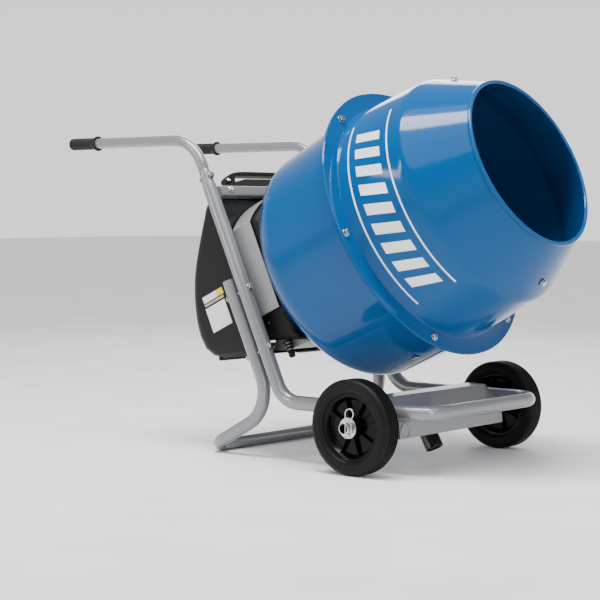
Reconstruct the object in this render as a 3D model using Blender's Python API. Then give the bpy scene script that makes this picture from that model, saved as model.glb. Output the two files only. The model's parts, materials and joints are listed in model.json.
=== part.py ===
"""Concrete mixer on a two-wheeled barrow frame, one object for each piece, in metres, +Z up.

The origin is on the ground under the middle of the machine.  +X is the way the drum's mouth faces and +Y is
the machine's left side.  Two frames place the pieces: BARROW, on the ground under the wheel axle, and LEANING,
on the drum's axis, whose X runs along that axis (25 degrees above the ground) and whose Z runs up the side tubes.
"""
import math

import bmesh
import bpy
from mathutils import Matrix, Vector

# ---------------------------------------------------------------- driving dimensions
GAP = 0.0003                      # clearance between pieces that touch
LEAN = math.radians(25.0)         # drum axis above the ground, and side tubes back from upright

WHEEL_RADIUS = 0.085
WHEEL_MIDDLE_Y = 0.2305
WHEEL_WIDTH = 0.035
RIM_RADIUS = 0.0600
AXLE_X = 0.2522                   # wheel axle ahead of the origin
AXLE_RADIUS = 0.011
AXLE_HALF_LENGTH = 0.2625
CLIP_Y = 0.2568                   # retaining clips, out from the middle

SIDE_Y = 0.177                    # middle line of every side tube
MAIN_TUBE = 0.0135                # outer radii of the tubes
FOOT_TUBE = 0.0125
HANDLE_TUBE = 0.0105
HANDLE_SPIGOT = 0.0088            # the handle's reduced end, inside the side tube
TUBE_WALL = 0.0018
RAIL_Z = 0.110                    # level of the main tube's rails and front bar
FRONT_BAR_X = 0.122
FOOT_BAR_X = -0.388
HANDLE_Z = 0.599
GRIP_END_X = -0.783
GRIP_LENGTH = 0.079

DRUM_X = -0.171                   # the drum axis' reference point, from the axle
DRUM_Z = 0.3717
MAIN_U = -0.146                   # side tubes, along the drum axis from that point
FOOT_U = -0.177
JOINT_V = 0.255                   # where a handle enters its side tube
SPIGOT_LENGTH = 0.034
FOOT_TOP_V = 0.036
FOOT_KNEE_V = -0.2237
UPPER_BOLT_V = 0.005
LOWER_BOLT_V = -0.115
HANDLE_BOLT_V = 0.238

DRUM_BACK = -0.068                # bowl: back face, side and flange
DRUM_CORNER = 0.061
BOWL_RADIUS = 0.231
BOWL_RIM_RADIUS = 0.238
DRUM_WALL = 0.002
FLANGE_U = 0.168
FLANGE_RADIUS = 0.265
FLANGE_THICKNESS = 0.003
BAND_RADIUS = 0.2306              # cone: band, crease and mouth
CREASE_U = 0.312
CREASE_RADIUS = 0.2205
MOUTH_U = 0.4185
MOUTH_RADIUS = 0.158
BEAD_RADIUS = 0.004
FLANGE_BOLT_CIRCLE = 0.2485
FLANGE_BOLT_START = math.radians(25.0)

PLATE_U = -0.1545                 # gear plate, rear face
PLATE_THICKNESS = 0.004
HOUSING_HALF = 0.152              # front housing, under the hoop
HOUSING_FRONT = -0.082
COVER_RIM_U = -0.155
COVER_WALL = 0.0025
CAP_V = 0.2365                    # cover's top, and the carrying loop on it
LOOP_TOP_V = 0.2627
LOOP_FOOT_V = 0.226
HOOP_HALF = 0.158
HOOP_RADIUS = 0.2217
HOOP_CENTRE_V = -0.0305
HOOP_SHEET = 0.002
HOOP_REAR = -0.1445
HOOP_FRONT = -0.0969
HOOP_FOOT_V = -0.051

TOOTH_MODULE = 0.0025
GEAR_TEETH = 48
PINION_TEETH = 8
CENTRE_DISTANCE = 0.0702          # pitch radii plus 0.2 mm of backlash
PULLEY_RADIUS = 0.056
ROTOR_RADIUS = 0.007              # the belt runs on the motor's shaft end, 8 to 1
MOTOR_Y = -0.100
MOTOR_V = 0.040
BEARING_OUTER = 0.021
SHAFT_RADIUS = 0.010

BUTTON_RADIUS = 0.010
SWITCH_U = -0.236
SWITCH_OUT_Y = 0.176


# ---------------------------------------------------------------- scene, materials and frames
def clear_scene():
    for old in list(bpy.data.objects):
        bpy.data.objects.remove(old, do_unlink=True)


def finish(name, colour, roughness, metallic):
    made = bpy.data.materials.new(name)
    made.use_nodes = True
    shader = made.node_tree.nodes["Principled BSDF"]
    shader.inputs["Base Color"].default_value = (*colour, 1.0)
    shader.inputs["Roughness"].default_value = roughness
    shader.inputs["Metallic"].default_value = metallic
    made.diffuse_color = (*colour, 1.0)
    return made


def empty(name, place, parent=None, turn=0.0):
    made = bpy.data.objects.new(name, None)
    made.location = place
    made.rotation_euler = (0.0, turn, 0.0)
    made.parent = parent
    bpy.context.scene.collection.objects.link(made)
    return made


def leaning(u, y, v):
    """A place given along and across the drum axis, in the barrow frame."""
    along = Vector((math.cos(LEAN), 0.0, math.sin(LEAN)))
    up = Vector((-math.sin(LEAN), 0.0, math.cos(LEAN)))
    return Vector((DRUM_X, y, DRUM_Z)) + along * u + up * v


# ---------------------------------------------------------------- mesh helpers
def piece(name, mesh, material, parent, place=(0.0, 0.0, 0.0), sharp=30.0):
    """An object from a bmesh, with its faces pointing out and smooth where it is round."""
    bmesh.ops.recalc_face_normals(mesh, faces=mesh.faces)
    data = bpy.data.meshes.new(name)
    mesh.to_mesh(data)
    mesh.free()
    data.shade_smooth()
    data.set_sharp_from_angle(angle=math.radians(sharp))
    data.materials.append(material)
    made = bpy.data.objects.new(name, data)
    made.location = place
    made.parent = parent
    bpy.context.scene.collection.objects.link(made)
    return made


def loft(rings, closed):
    """Skin over rings of equal length; closed joins the last ring to the first, else the ends are capped."""
    mesh = bmesh.new()
    rows = [[mesh.verts.new(point) for point in ring] for ring in rings]
    count = len(rows[0])
    pairs = list(zip(rows, rows[1:] + rows[:1])) if closed else list(zip(rows, rows[1:]))
    for first, second in pairs:
        for index in range(count):
            after = (index + 1) % count
            mesh.faces.new((first[index], first[after], second[after], second[index]))
    if not closed:
        mesh.faces.new(rows[0])
        mesh.faces.new(rows[-1])
    return mesh


def turned(profile, sides, axis="X", closed=True, start=0.0):
    """A profile of (along, radius) turned about an axis; an open profile starts and ends on the axis."""
    mesh = bmesh.new()
    rows = []
    for along, radius in profile:
        if radius == 0.0:
            rows.append([mesh.verts.new(on_axis(axis, along, 0.0, 0.0))])
            continue
        angles = [start + 2.0 * math.pi * step / sides for step in range(sides)]
        rows.append([mesh.verts.new(on_axis(axis, along, radius * math.sin(a), radius * math.cos(a)))
                     for a in angles])
    pairs = list(zip(rows, rows[1:] + rows[:1])) if closed else list(zip(rows, rows[1:]))
    for first, second in pairs:
        for index in range(sides):
            after = (index + 1) % sides
            if len(first) == 1:
                mesh.faces.new((first[0], second[after], second[index]))
            elif len(second) == 1:
                mesh.faces.new((first[index], first[after], second[0]))
            else:
                mesh.faces.new((first[index], first[after], second[after], second[index]))
    return mesh


def on_axis(axis, along, side, up):
    if axis == "X":
        return Vector((along, side, up))
    if axis == "Y":
        return Vector((side, along, up))
    return Vector((side, up, along))


def prism(outline, low, high, axis):
    """A flat outline given in the other two directions, made solid between low and high along an axis."""
    return loft([[on_axis(axis, level, side, up) for side, up in outline] for level in (low, high)], False)


def block(low, high):
    outline = [(low[1], low[2]), (high[1], low[2]), (high[1], high[2]), (low[1], high[2])]
    return prism(outline, low[0], high[0], "X")


def arc(centre, radius, first, last, steps):
    """Points on an arc, with angles in degrees from the second direction towards the first."""
    angles = [math.radians(first + (last - first) * step / steps) for step in range(steps + 1)]
    return [(centre[0] + radius * math.sin(a), centre[1] + radius * math.cos(a)) for a in angles]


def rounded(corners, radii, steps):
    """A line through corners, with each inner corner replaced by an arc of its own radius."""
    points = [corners[0]]
    for before, corner, after, radius in zip(corners, corners[1:], corners[2:], radii):
        inward = (before - corner).normalized()
        outward = (after - corner).normalized()
        half = inward.angle(outward) / 2.0
        centre = corner + (inward + outward).normalized() * radius / math.sin(half)
        first = corner + inward * radius / math.tan(half) - centre
        last = corner + outward * radius / math.tan(half) - centre
        axis = first.cross(last)
        turn = first.angle(last)
        for step in range(steps + 1):
            points.append(centre + Matrix.Rotation(turn * step / steps, 3, axis) @ first)
    points.append(corners[-1])
    return points


def ring_frames(points):
    """For each point of a line, two directions square to it that twist as little as they can."""
    ways = []
    for index in range(len(points)):
        after = points[min(index + 1, len(points) - 1)]
        before = points[max(index - 1, 0)]
        ways.append((after - before).normalized())
    side = Vector((0.0, 1.0, 0.0))
    if abs(ways[0].dot(side)) > 0.9:
        side = Vector((0.0, 0.0, 1.0))
    frames = []
    for way in ways:
        side = (side - way * side.dot(way)).normalized()
        frames.append((side, way.cross(side)))
    return frames


def tube(points, outer, inner, sides=12):
    """A hollow round tube along a line, open at both ends; radii are given for each point."""
    frames = ring_frames(points)
    angles = [2.0 * math.pi * step / sides for step in range(sides)]
    rings = []
    for point, (side, up), radius in zip(points, frames, outer):
        rings.append([point + (side * math.cos(a) + up * math.sin(a)) * radius for a in angles])
    for point, (side, up), radius in reversed(list(zip(points, frames, inner))):
        rings.append([point + (side * math.cos(a) + up * math.sin(a)) * radius for a in angles])
    return loft(rings, True)


def rod(points, radius, sides=6):
    """A solid round wire along a line."""
    angles = [2.0 * math.pi * step / sides for step in range(sides)]
    rings = []
    for point, (side, up) in zip(points, ring_frames(points)):
        rings.append([point + (side * math.cos(a) + up * math.sin(a)) * radius for a in angles])
    return loft(rings, False)


def cutter(name, mesh, parent, place=(0.0, 0.0, 0.0)):
    made = piece(name, mesh, GUIDE, parent, place)
    made.hide_render = True
    made.display_type = "WIRE"
    return made


def cut(target, tool):
    change = target.modifiers.new("cut", "BOOLEAN")
    change.operation = "DIFFERENCE"
    change.solver = "EXACT"
    change.object = tool


def drill(name, radius, low, high, places, axis, parent, sides=8):
    """One cutter of parallel round drills, at places given in the other two directions."""
    mesh = bmesh.new()
    for side, up in places:
        rings = []
        for level in (low, high):
            angles = [2.0 * math.pi * (step + 0.3) / sides for step in range(sides)]
            rings.append([mesh.verts.new(on_axis(axis, level, side + radius * math.sin(a),
                                                 up + radius * math.cos(a))) for a in angles])
        for index in range(sides):
            after = (index + 1) % sides
            mesh.faces.new((rings[0][index], rings[0][after], rings[1][after], rings[1][index]))
        mesh.faces.new(rings[0])
        mesh.faces.new(rings[1])
    return cutter(name, mesh, parent)


# ---------------------------------------------------------------- frame
def side_name(side):
    return "left" if side > 0 else "right"


def main_tube():
    """One bent tube: up the right side, round the front and up the left, with swaged top ends."""
    neck = HANDLE_TUBE + GAP
    knee_v = (RAIL_Z - DRUM_Z - MAIN_U * math.sin(LEAN)) / math.cos(LEAN)
    corners = []
    for side in (1, -1):
        half = [leaning(MAIN_U, side * SIDE_Y, JOINT_V), leaning(MAIN_U, side * SIDE_Y, knee_v),
                Vector((FRONT_BAR_X, side * SIDE_Y, RAIL_Z))]
        corners += half if side > 0 else list(reversed(half))
    bend = 0.055
    path = rounded(corners, [bend] * 4, 4)
    swage = [leaning(MAIN_U, SIDE_Y, JOINT_V - drop) for drop in (0.012, SPIGOT_LENGTH + 0.005)]
    mirrored = [Vector((p.x, -p.y, p.z)) for p in reversed(swage)]
    path = path[:1] + swage + path[1:-1] + mirrored + path[-1:]
    bore = HANDLE_SPIGOT + GAP
    outer = [neck] * 2 + [MAIN_TUBE] * (len(path) - 4) + [neck] * 2
    inner = [bore] * 2 + [MAIN_TUBE - TUBE_WALL] * (len(path) - 4) + [bore] * 2
    made = piece("main_tube", tube(path, outer, inner, 10), TUBE_PAINT, BARROW)
    cut(made, FRAME_DRILL)
    cut(made, HANDLE_DRILL)


def foot_tube():
    """The rear foot: bolted behind the main tube, it bends back to a bar on the ground."""
    corners = []
    for side in (1, -1):
        half = [leaning(FOOT_U, side * SIDE_Y, FOOT_TOP_V), leaning(FOOT_U, side * SIDE_Y, FOOT_KNEE_V),
                Vector((FOOT_BAR_X, side * SIDE_Y, FOOT_TUBE))]
        corners += half if side > 0 else list(reversed(half))
    path = rounded(corners, [0.070, 0.032, 0.032, 0.070], 4)
    outer = [FOOT_TUBE] * len(path)
    inner = [FOOT_TUBE - TUBE_WALL] * len(path)
    made = piece("foot_tube", tube(path, outer, inner, 10), TUBE_PAINT, BARROW)
    cut(made, FRAME_DRILL)


def handles():
    """Two push handles, each slipped into the top of its side tube, and their rubber grips."""
    top_v = (HANDLE_Z - DRUM_Z - MAIN_U * math.sin(LEAN)) / math.cos(LEAN)
    for side in (1, -1):
        shoulder = [leaning(MAIN_U, side * SIDE_Y, JOINT_V + rise) for rise in (GAP, 0.0008)]
        corners = [leaning(MAIN_U, side * SIDE_Y, JOINT_V - SPIGOT_LENGTH), leaning(MAIN_U, side * SIDE_Y, top_v),
                   Vector((GRIP_END_X + 0.003, side * SIDE_Y, HANDLE_Z))]
        path = rounded(corners, [0.08], 5)
        path = path[:1] + shoulder + path[1:]
        outer = [HANDLE_SPIGOT] * 2 + [HANDLE_TUBE] * (len(path) - 2)
        inner = [HANDLE_SPIGOT - 0.0015] * 2 + [HANDLE_SPIGOT] * (len(path) - 2)
        made = piece("handle_" + side_name(side), tube(path, outer, inner, 10), TUBE_PAINT, BARROW)
        cut(made, HANDLE_DRILL)
        bore = HANDLE_TUBE + GAP
        reach = GRIP_LENGTH
        profile = [(0.0, 0.0), (0.001, 0.009), (0.004, 0.0117), (reach - 0.009, 0.0117), (reach - 0.002, 0.0150),
                   (reach, 0.0150), (reach, bore), (0.0027, bore), (0.0027, 0.0)]
        piece("grip_" + side_name(side), turned(profile, 10, closed=False, start=math.radians(90.0)),
              GRIP_RUBBER, BARROW,
              (GRIP_END_X, side * SIDE_Y, HANDLE_Z))


def cross_bar():
    """A square tube between the side tubes, above the drive."""
    half = 0.010
    middle_u = -0.1397
    middle_v = 0.205
    reach = SIDE_Y - MAIN_TUBE - GAP
    rings = []
    for size, ends in ((half, 1), (half - 0.0015, -1)):
        square = [(-size, -size), (size, -size), (size, size), (-size, size)]
        for level in (-reach * ends, reach * ends):
            rings.append([Vector((middle_u + u, level, middle_v + v)) for u, v in square])
    piece("cross_bar", loft(rings, True), TUBE_PAINT, LEANING)


def axle_box():
    """Folded sheet channel between the rails, open to the rear, that carries the axle and the stand socket."""
    sheet = 0.003
    reach = SIDE_Y - MAIN_TUBE - GAP
    outline = [(-0.030, 0.131), (0.009, 0.131), (0.047, 0.090), (0.050, 0.060), (-0.030, 0.060)]
    hollow = [(-0.040, 0.128), (0.0077, 0.128), (0.0441, 0.0889), (0.0467, 0.063), (-0.040, 0.063)]
    made = piece("axle_box", prism(outline, -reach, reach, "Y"), TUBE_PAINT, BARROW)
    cut(made, cutter("axle_box_hollow", prism(hollow, sheet - reach, reach - sheet, "Y"), BARROW))
    cut(made, drill("axle_drill", AXLE_RADIUS + GAP, -0.2, 0.2, [(0.0, WHEEL_RADIUS)], "Y", BARROW, 16))


def stand_socket():
    """Black tube under the axle box, pointing down and forward, that a stand's post would enter."""
    tilt = math.radians(29.5)
    way = Vector((math.sin(tilt), 0.0, -math.cos(tilt)))
    mouth = Vector((0.0078, 0.0, 0.0235))
    top = mouth - way * 0.058
    mesh = tube([top, mouth], [0.017] * 2, [0.0145] * 2, 20)
    plane = 0.060 - GAP
    edges = mesh.verts[:] + mesh.edges[:] + mesh.faces[:]
    bmesh.ops.bisect_plane(mesh, geom=edges, dist=1e-6, plane_co=(0.0, 0.0, plane), plane_no=(0.0, 0.0, 1.0),
                           clear_outer=True)
    rim = [edge for edge in mesh.edges if edge.is_boundary]
    bmesh.ops.bridge_loops(mesh, edges=rim)
    piece("stand_socket", mesh, BLACK_PAINT, BARROW)


def axle():
    """Tubular axle, cross-drilled near its ends for the retaining clips, with its washers and clips."""
    ends = AXLE_HALF_LENGTH
    bore = AXLE_RADIUS - 0.0022
    profile = [(-ends, AXLE_RADIUS), (ends, AXLE_RADIUS), (ends, bore), (-ends, bore)]
    made = piece("axle", turned(profile, 16, "Y"), ZINC, BARROW, (0.0, 0.0, WHEEL_RADIUS))
    cut(made, drill("clip_drill", 0.0016, 0.04, 0.13, [(0.0, CLIP_Y), (0.0, -CLIP_Y)], "Z", BARROW))
    washer = [(0.0, AXLE_RADIUS + GAP), (0.0, 0.0185), (0.002, 0.0185), (0.002, AXLE_RADIUS + GAP)]
    for side in (1, -1):
        inner_face = WHEEL_MIDDLE_Y + 0.018 + GAP
        profile = [(side * (inner_face + along), radius) for along, radius in washer]
        piece("axle_washer_" + side_name(side), turned(profile, 16, "Y"), ZINC, BARROW,
              (0.0, 0.0, WHEEL_RADIUS))
        ring = 0.0088
        middle = AXLE_RADIUS + 0.015
        loop = [Vector((0.0, 0.0, -0.017)), Vector((0.0, 0.0, middle - ring * 0.7))]
        for step in range(10):
            turn = math.radians(-90.0 + 285.0 * step / 9.0)
            loop.append(Vector((ring + ring * math.sin(turn), 0.0, middle + ring * math.cos(turn))))
        loop += [Vector((0.0090, 0.0, 0.0125)), Vector((0.0135, 0.0, 0.004)), Vector((0.0135, 0.0, -0.006))]
        piece("r_clip_" + side_name(side), rod(loop, 0.0012), ZINC, BARROW, (0.0, side * CLIP_Y, WHEEL_RADIUS))


def bolt(name, ends, radius, head, parent, place, axis="X", sides=8):
    """Domed head, shank and nut as one piece, from the head's seat to the nut's seat along the axis."""
    seat, nut = ends
    way = 1.0 if seat > nut else -1.0
    profile = [(seat + way * head * 0.75, 0.0), (seat + way * head * 0.6, head * 0.6), (seat, head),
               (seat, radius), (nut, radius), (nut, head * 0.9), (nut - way * head * 0.8, head * 0.9),
               (nut - way * head * 0.8, 0.0)]
    return piece(name, turned(profile, sides, axis, closed=False), ZINC, parent, place)


def frame_bolts():
    """Bolts that clamp the foot to the main tube, and each handle in its socket."""
    for side in (1, -1):
        for level, height in (("upper", UPPER_BOLT_V), ("lower", LOWER_BOLT_V)):
            front = MAIN_U + MAIN_TUBE + GAP
            rear = FOOT_U - FOOT_TUBE - GAP
            bolt("frame_bolt_" + level + "_" + side_name(side), (front, rear), 0.003, 0.0065, LEANING,
                 (0.0, side * SIDE_Y, height))
        neck = 0.0121
        bolt("handle_bolt_" + side_name(side), (MAIN_U + neck, MAIN_U - neck), 0.003, 0.0062, LEANING,
             (0.0, side * SIDE_Y, HANDLE_BOLT_V))


# ---------------------------------------------------------------- housings
def drive_hoop():
    """Sheet strip arched over the drive, with straight sides down between the side tubes."""
    reach = math.degrees(math.asin(HOOP_HALF / HOOP_RADIUS))
    outer = [(-HOOP_HALF, HOOP_FOOT_V)] + arc((0.0, HOOP_CENTRE_V), HOOP_RADIUS, -reach, reach, 12)
    outer += [(HOOP_HALF, HOOP_FOOT_V)]
    inside = HOOP_HALF - HOOP_SHEET
    radius = HOOP_RADIUS - HOOP_SHEET
    reach = math.degrees(math.asin(inside / radius))
    inner = [(inside, HOOP_FOOT_V)] + arc((0.0, HOOP_CENTRE_V), radius, reach, -reach, 12)
    inner += [(-inside, HOOP_FOOT_V)]
    piece("drive_hoop", prism(outer + inner, HOOP_REAR, HOOP_FRONT, "X"), HOOP_PAINT, LEANING)


def gear_plate():
    """Steel plate between the side tubes that carries the drum bearing, the layshaft and the motor."""
    half = SIDE_Y - MAIN_TUBE - GAP
    outline = [(-0.140, -0.0955), (0.140, -0.0955), (half, -0.070), (half, 0.185), (0.130, 0.226),
               (0.060, 0.240), (-0.060, 0.240), (-0.130, 0.226), (-half, 0.185), (-half, -0.070)]
    made = piece("gear_plate", prism(outline, PLATE_U, PLATE_U + PLATE_THICKNESS, "X"), BLACK_PAINT, LEANING)
    cut(made, drill("drum_drill", BEARING_OUTER, -0.17, -0.14, [(0.0, 0.0)], "X", LEANING, 20))
    cut(made, drill("layshaft_drill", 0.0083, -0.17, -0.14, [(CENTRE_DISTANCE, 0.0)], "X", LEANING, 12))
    cut(made, drill("motor_drill", 0.012, -0.17, -0.14, [(MOTOR_Y, MOTOR_V)], "X", LEANING, 12))


def front_housing():
    """Black shell between the gear plate and the drum's back, under the hoop, with a sloping floor."""
    radius = HOOP_RADIUS - HOOP_SHEET - 0.003
    rim = PLATE_U + PLATE_THICKNESS + GAP
    slope = -0.39

    def section(u, inset):
        floor = -0.0830 + slope * (u + 0.185) + inset
        half = HOUSING_HALF - inset
        top = radius - inset
        reach = math.degrees(math.asin(half / top))
        roof = arc((0.0, HOOP_CENTRE_V), top, -reach, reach, 10)
        corner = 0.012
        return ([(half, floor + corner), (half - corner, floor), (corner - half, floor),
                 (-half, floor + corner)] + roof)

    wall = COVER_WALL
    stations = [(rim, 0.0), (HOUSING_FRONT - 0.008, 0.0), (HOUSING_FRONT, 0.008)]
    outer = [[Vector((u, y, v)) for y, v in section(u, inset)] for u, inset in stations]
    stations = [(HOUSING_FRONT - wall, 0.008 + wall), (HOUSING_FRONT - 0.008 - wall, wall), (rim, wall)]
    inner = [[Vector((u, y, v)) for y, v in section(u, inset)] for u, inset in stations]
    mesh = loft(outer + inner, True)
    bridge = len(outer) - 1
    drop_tunnel(mesh, outer[bridge], inner[0])
    made = piece("front_housing", mesh, COVER_PLASTIC, LEANING)
    cut(made, drill("hub_drill", 0.032, -0.10, -0.07, [(0.0, 0.0)], "X", LEANING, 16))


def drop_tunnel(mesh, first_ring, second_ring):
    """Replace the skin between two rings by a cap on each, which closes a shell's end wall."""
    mesh.verts.ensure_lookup_table()

    def nearest(point):
        return min(mesh.verts, key=lambda vert: (vert.co - point).length_squared)

    first = [nearest(point) for point in first_ring]
    second = [nearest(point) for point in second_ring]
    members = set(first) | set(second)
    between = [face for face in mesh.faces if all(vert in members for vert in face.verts)
               and any(vert in first for vert in face.verts) and any(vert in second for vert in face.verts)]
    bmesh.ops.delete(mesh, geom=between, context="FACES_ONLY")
    mesh.faces.new(first)
    mesh.faces.new(second)


def rear_cover():
    """Black shell over the motor and the belt: a sloping, bulging back, a domed top and a carrying loop."""
    # height at the rim, depth of the back, half width, and how much the level falls towards the front
    levels = [(-0.1235, -0.298, 0.143, -0.323), (-0.1115, -0.312, 0.152, -0.30), (-0.080, -0.323, 0.155, -0.20),
              (-0.030, -0.3265, 0.155, -0.06), (0.005, -0.3235, 0.155, 0.0), (0.050, -0.310, 0.155, 0.0),
              (0.095, -0.288, 0.155, 0.0), (0.140, -0.255, 0.155, 0.0), (0.185, -0.221, 0.152, 0.0),
              (0.198, -0.2155, 0.148, 0.0), (0.210, -0.206, 0.142, 0.0), (0.227, -0.191, 0.126, 0.0),
              (CAP_V, -0.184, 0.108, 0.0)]

    def section(level, inset):
        height, back, half, fall = level
        back += inset
        half -= inset
        corner = min(0.030, (COVER_RIM_U - back) * 0.8)
        plan = [(COVER_RIM_U, -half)]
        plan += [(back + corner - corner * math.sin(a), corner - half - corner * math.cos(a))
                 for a in [math.radians(step * 22.5) for step in range(5)]]
        plan += [(u, -y) for u, y in reversed(plan)]
        return [Vector((u, y, height + fall * (u - COVER_RIM_U))) for u, y in plan]

    wall = COVER_WALL
    outer = [section(level, 0.0) for level in levels]
    inner = [section(level, wall) for level in levels]
    for point in inner[0]:
        point.z += wall
    for point in inner[-1]:
        point.z -= wall
    mesh = bmesh.new()
    skins = []
    for rows in (outer, inner):
        skin = [[mesh.verts.new(point) for point in row] for row in rows]
        for first, second in zip(skin, skin[1:]):
            for index in range(len(first) - 1):
                mesh.faces.new((first[index], first[index + 1], second[index + 1], second[index]))
        mesh.faces.new(skin[0])
        mesh.faces.new(skin[-1])
        skins.append([skin[0][0]] + [row[0] for row in skin[1:]] + [row[-1] for row in reversed(skin)])
    for index in range(len(skins[0])):
        after = (index + 1) % len(skins[0])
        mesh.faces.new((skins[0][index], skins[0][after], skins[1][after], skins[1][index]))
    made = piece("rear_cover", mesh, COVER_PLASTIC, LEANING)
    loop = piece("carrying_loop", carrying_loop(), GUIDE, LEANING)
    loop.hide_render = True
    loop.display_type = "WIRE"
    join = made.modifiers.new("join", "BOOLEAN")
    join.operation = "UNION"
    join.solver = "EXACT"
    join.object = loop


def carrying_loop():
    """The grip moulded on the cover's top: a shallow bow over a finger slot, with its feet in the cover."""
    span = 0.105
    under = 0.2537
    bow = [(span * step / 8.0, LOOP_TOP_V - 0.0177 * abs(step / 8.0) ** 5) for step in range(-8, 9)]
    slot = [(0.080, LOOP_FOOT_V), (0.069, under), (-0.069, under), (-0.080, LOOP_FOOT_V)]
    outline = bow + [(span, LOOP_FOOT_V)] + slot + [(-span, LOOP_FOOT_V)]
    return prism(outline, -0.178, -0.162, "X")


def bottom_tray():
    """Shallow sheet tray that closes the drive from below, following the front housing's floor."""
    half = 0.125
    outline = [(-0.187, -0.1092), (-0.128, -0.1262), (-0.085, -0.1275), (-0.085, -0.1230), (-0.150, -0.0982),
               (-0.187, -0.0982)]
    hollow = [(-0.185, -0.1076), (-0.128, -0.1243), (-0.087, -0.1256), (-0.087, -0.08), (-0.185, -0.08)]
    made = piece("bottom_tray", prism(outline, -half, half, "Y"), HOOP_PAINT, LEANING)
    cut(made, cutter("tray_hollow", prism(hollow, 0.002 - half, half - 0.002, "Y"), LEANING))


def switch_housing():
    """Switch box on the cover's left side, with a round pocket for each button."""
    inner_y = 0.155 + GAP
    made = piece("switch_housing", block((SWITCH_U - 0.021, inner_y, -0.008), (SWITCH_U + 0.021, SWITCH_OUT_Y, 0.068)),
                 COVER_PLASTIC, LEANING)
    edge = made.modifiers.new("edge", "BEVEL")
    edge.width = 0.003
    edge.segments = 2
    cut(made, drill("button_pockets", BUTTON_RADIUS + 0.0005, SWITCH_OUT_Y - 0.013, SWITCH_OUT_Y + 0.01,
                    [(SWITCH_U, 0.048), (SWITCH_U, 0.012)], "Y", LEANING, 20))
    for name, height, paint in (("start_button", 0.048, START_GREEN), ("stop_button", 0.012, STOP_RED)):
        profile = [(0.0, 0.0), (0.0, BUTTON_RADIUS), (0.0115, BUTTON_RADIUS), (0.013, BUTTON_RADIUS - 0.002),
                   (0.013, 0.0)]
        piece(name, turned(profile, 20, "Y", closed=False), paint, LEANING,
              (SWITCH_U, SWITCH_OUT_Y - 0.0085, height))


def cable_gland():
    """Ribbed strain relief that points down out of the front housing's floor."""
    u = -0.122
    floor = -0.0830 - 0.39 * (u + 0.185) - GAP - 0.004
    profile = [(0.0, 0.0), (0.0, 0.0095), (-0.004, 0.0095)]
    for rib in range(3):
        top = -0.006 - 0.0065 * rib
        width = 0.0088 - 0.0007 * rib
        profile += [(top, width - 0.002), (top - 0.0015, width), (top - 0.0045, width)]
    profile += [(-0.032, 0.0050), (-0.032, 0.0035), (-0.020, 0.0035), (-0.020, 0.0)]
    piece("cable_gland", turned(profile, 10, "Z", closed=False), GRIP_RUBBER, LEANING, (u, -0.1375, floor))


# ---------------------------------------------------------------- drum
def bowl_outline(inset):
    """The bowl's side from the back face's rim to the flange, as (along, radius)."""
    centre = (DRUM_BACK + DRUM_CORNER, BOWL_RADIUS - DRUM_CORNER)
    bend = DRUM_CORNER - inset
    corner = [(centre[0] - bend * math.cos(a), centre[1] + bend * math.sin(a))
              for a in [math.radians(90.0 * step / 5.0) for step in range(6)]]
    return corner + [(FLANGE_U - 0.010, BOWL_RIM_RADIUS - inset)]


def drum_bowl():
    """Lower half of the drum: closed back, wide corner and a flange at the rim."""
    back = FLANGE_U - FLANGE_THICKNESS
    lip = BOWL_RIM_RADIUS
    outer = [(DRUM_BACK, 0.0)] + bowl_outline(0.0)
    outer += [(back, lip + 0.002), (back, FLANGE_RADIUS - 0.001), (FLANGE_U, FLANGE_RADIUS - 0.001)]
    inner = [(FLANGE_U, lip)] + list(reversed(bowl_outline(DRUM_WALL)))
    inner += [(DRUM_BACK + DRUM_WALL, 0.0)]
    made = piece("drum_bowl", turned(outer + inner, 40, closed=False), DRUM_BLUE, DRUM)
    cut(made, FLANGE_DRILL)
    cut(made, BOWL_DRILL)


def drum_cone():
    """Upper half of the drum: flange, straight band and a cone to the rolled mouth."""
    base = FLANGE_U + GAP
    slope = math.atan2(CREASE_RADIUS - MOUTH_RADIUS, MOUTH_U - CREASE_U)
    bead = [(MOUTH_U + BEAD_RADIUS * math.cos(a), MOUTH_RADIUS + BEAD_RADIUS * math.sin(a))
            for a in [math.radians(150.0 - 75.0 * step) for step in range(4)]]
    outer = [(base, FLANGE_RADIUS), (base + FLANGE_THICKNESS, FLANGE_RADIUS),
             (base + FLANGE_THICKNESS, BAND_RADIUS + 0.003), (base + FLANGE_THICKNESS + 0.003, BAND_RADIUS),
             (CREASE_U - 0.004, CREASE_RADIUS + 0.0004), (CREASE_U + 0.004, CREASE_RADIUS - 0.0025)]
    offset = DRUM_WALL / math.cos(slope)
    inner = [(CREASE_U + 0.004, CREASE_RADIUS - 0.0025 - offset), (CREASE_U - 0.004, CREASE_RADIUS - DRUM_WALL),
             (base + FLANGE_THICKNESS + 0.003, BAND_RADIUS - DRUM_WALL), (base, BAND_RADIUS - DRUM_WALL)]
    made = piece("drum_cone", turned(outer + bead + inner, 40), DRUM_BLUE, DRUM)
    cut(made, FLANGE_DRILL)
    cut(made, CONE_DRILL)


def inner_radius(u):
    """The drum's inner radius between the bowl's corner and the mouth."""
    if u < FLANGE_U:
        share = (u - DRUM_BACK - DRUM_CORNER) / (FLANGE_U - 0.010 - DRUM_BACK - DRUM_CORNER)
        return BOWL_RADIUS + (BOWL_RIM_RADIUS - BOWL_RADIUS) * share - DRUM_WALL
    if u < CREASE_U:
        return BAND_RADIUS + (CREASE_RADIUS - BAND_RADIUS) * (u - FLANGE_U) / (CREASE_U - FLANGE_U) - DRUM_WALL
    return CREASE_RADIUS + (MOUTH_RADIUS - CREASE_RADIUS) * (u - CREASE_U) / (MOUTH_U - CREASE_U) - 0.003


BLADE_ENDS = ((0.075, 190.5), (0.345, 175.5))      # along the drum and round it, where a blade is bolted


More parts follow.
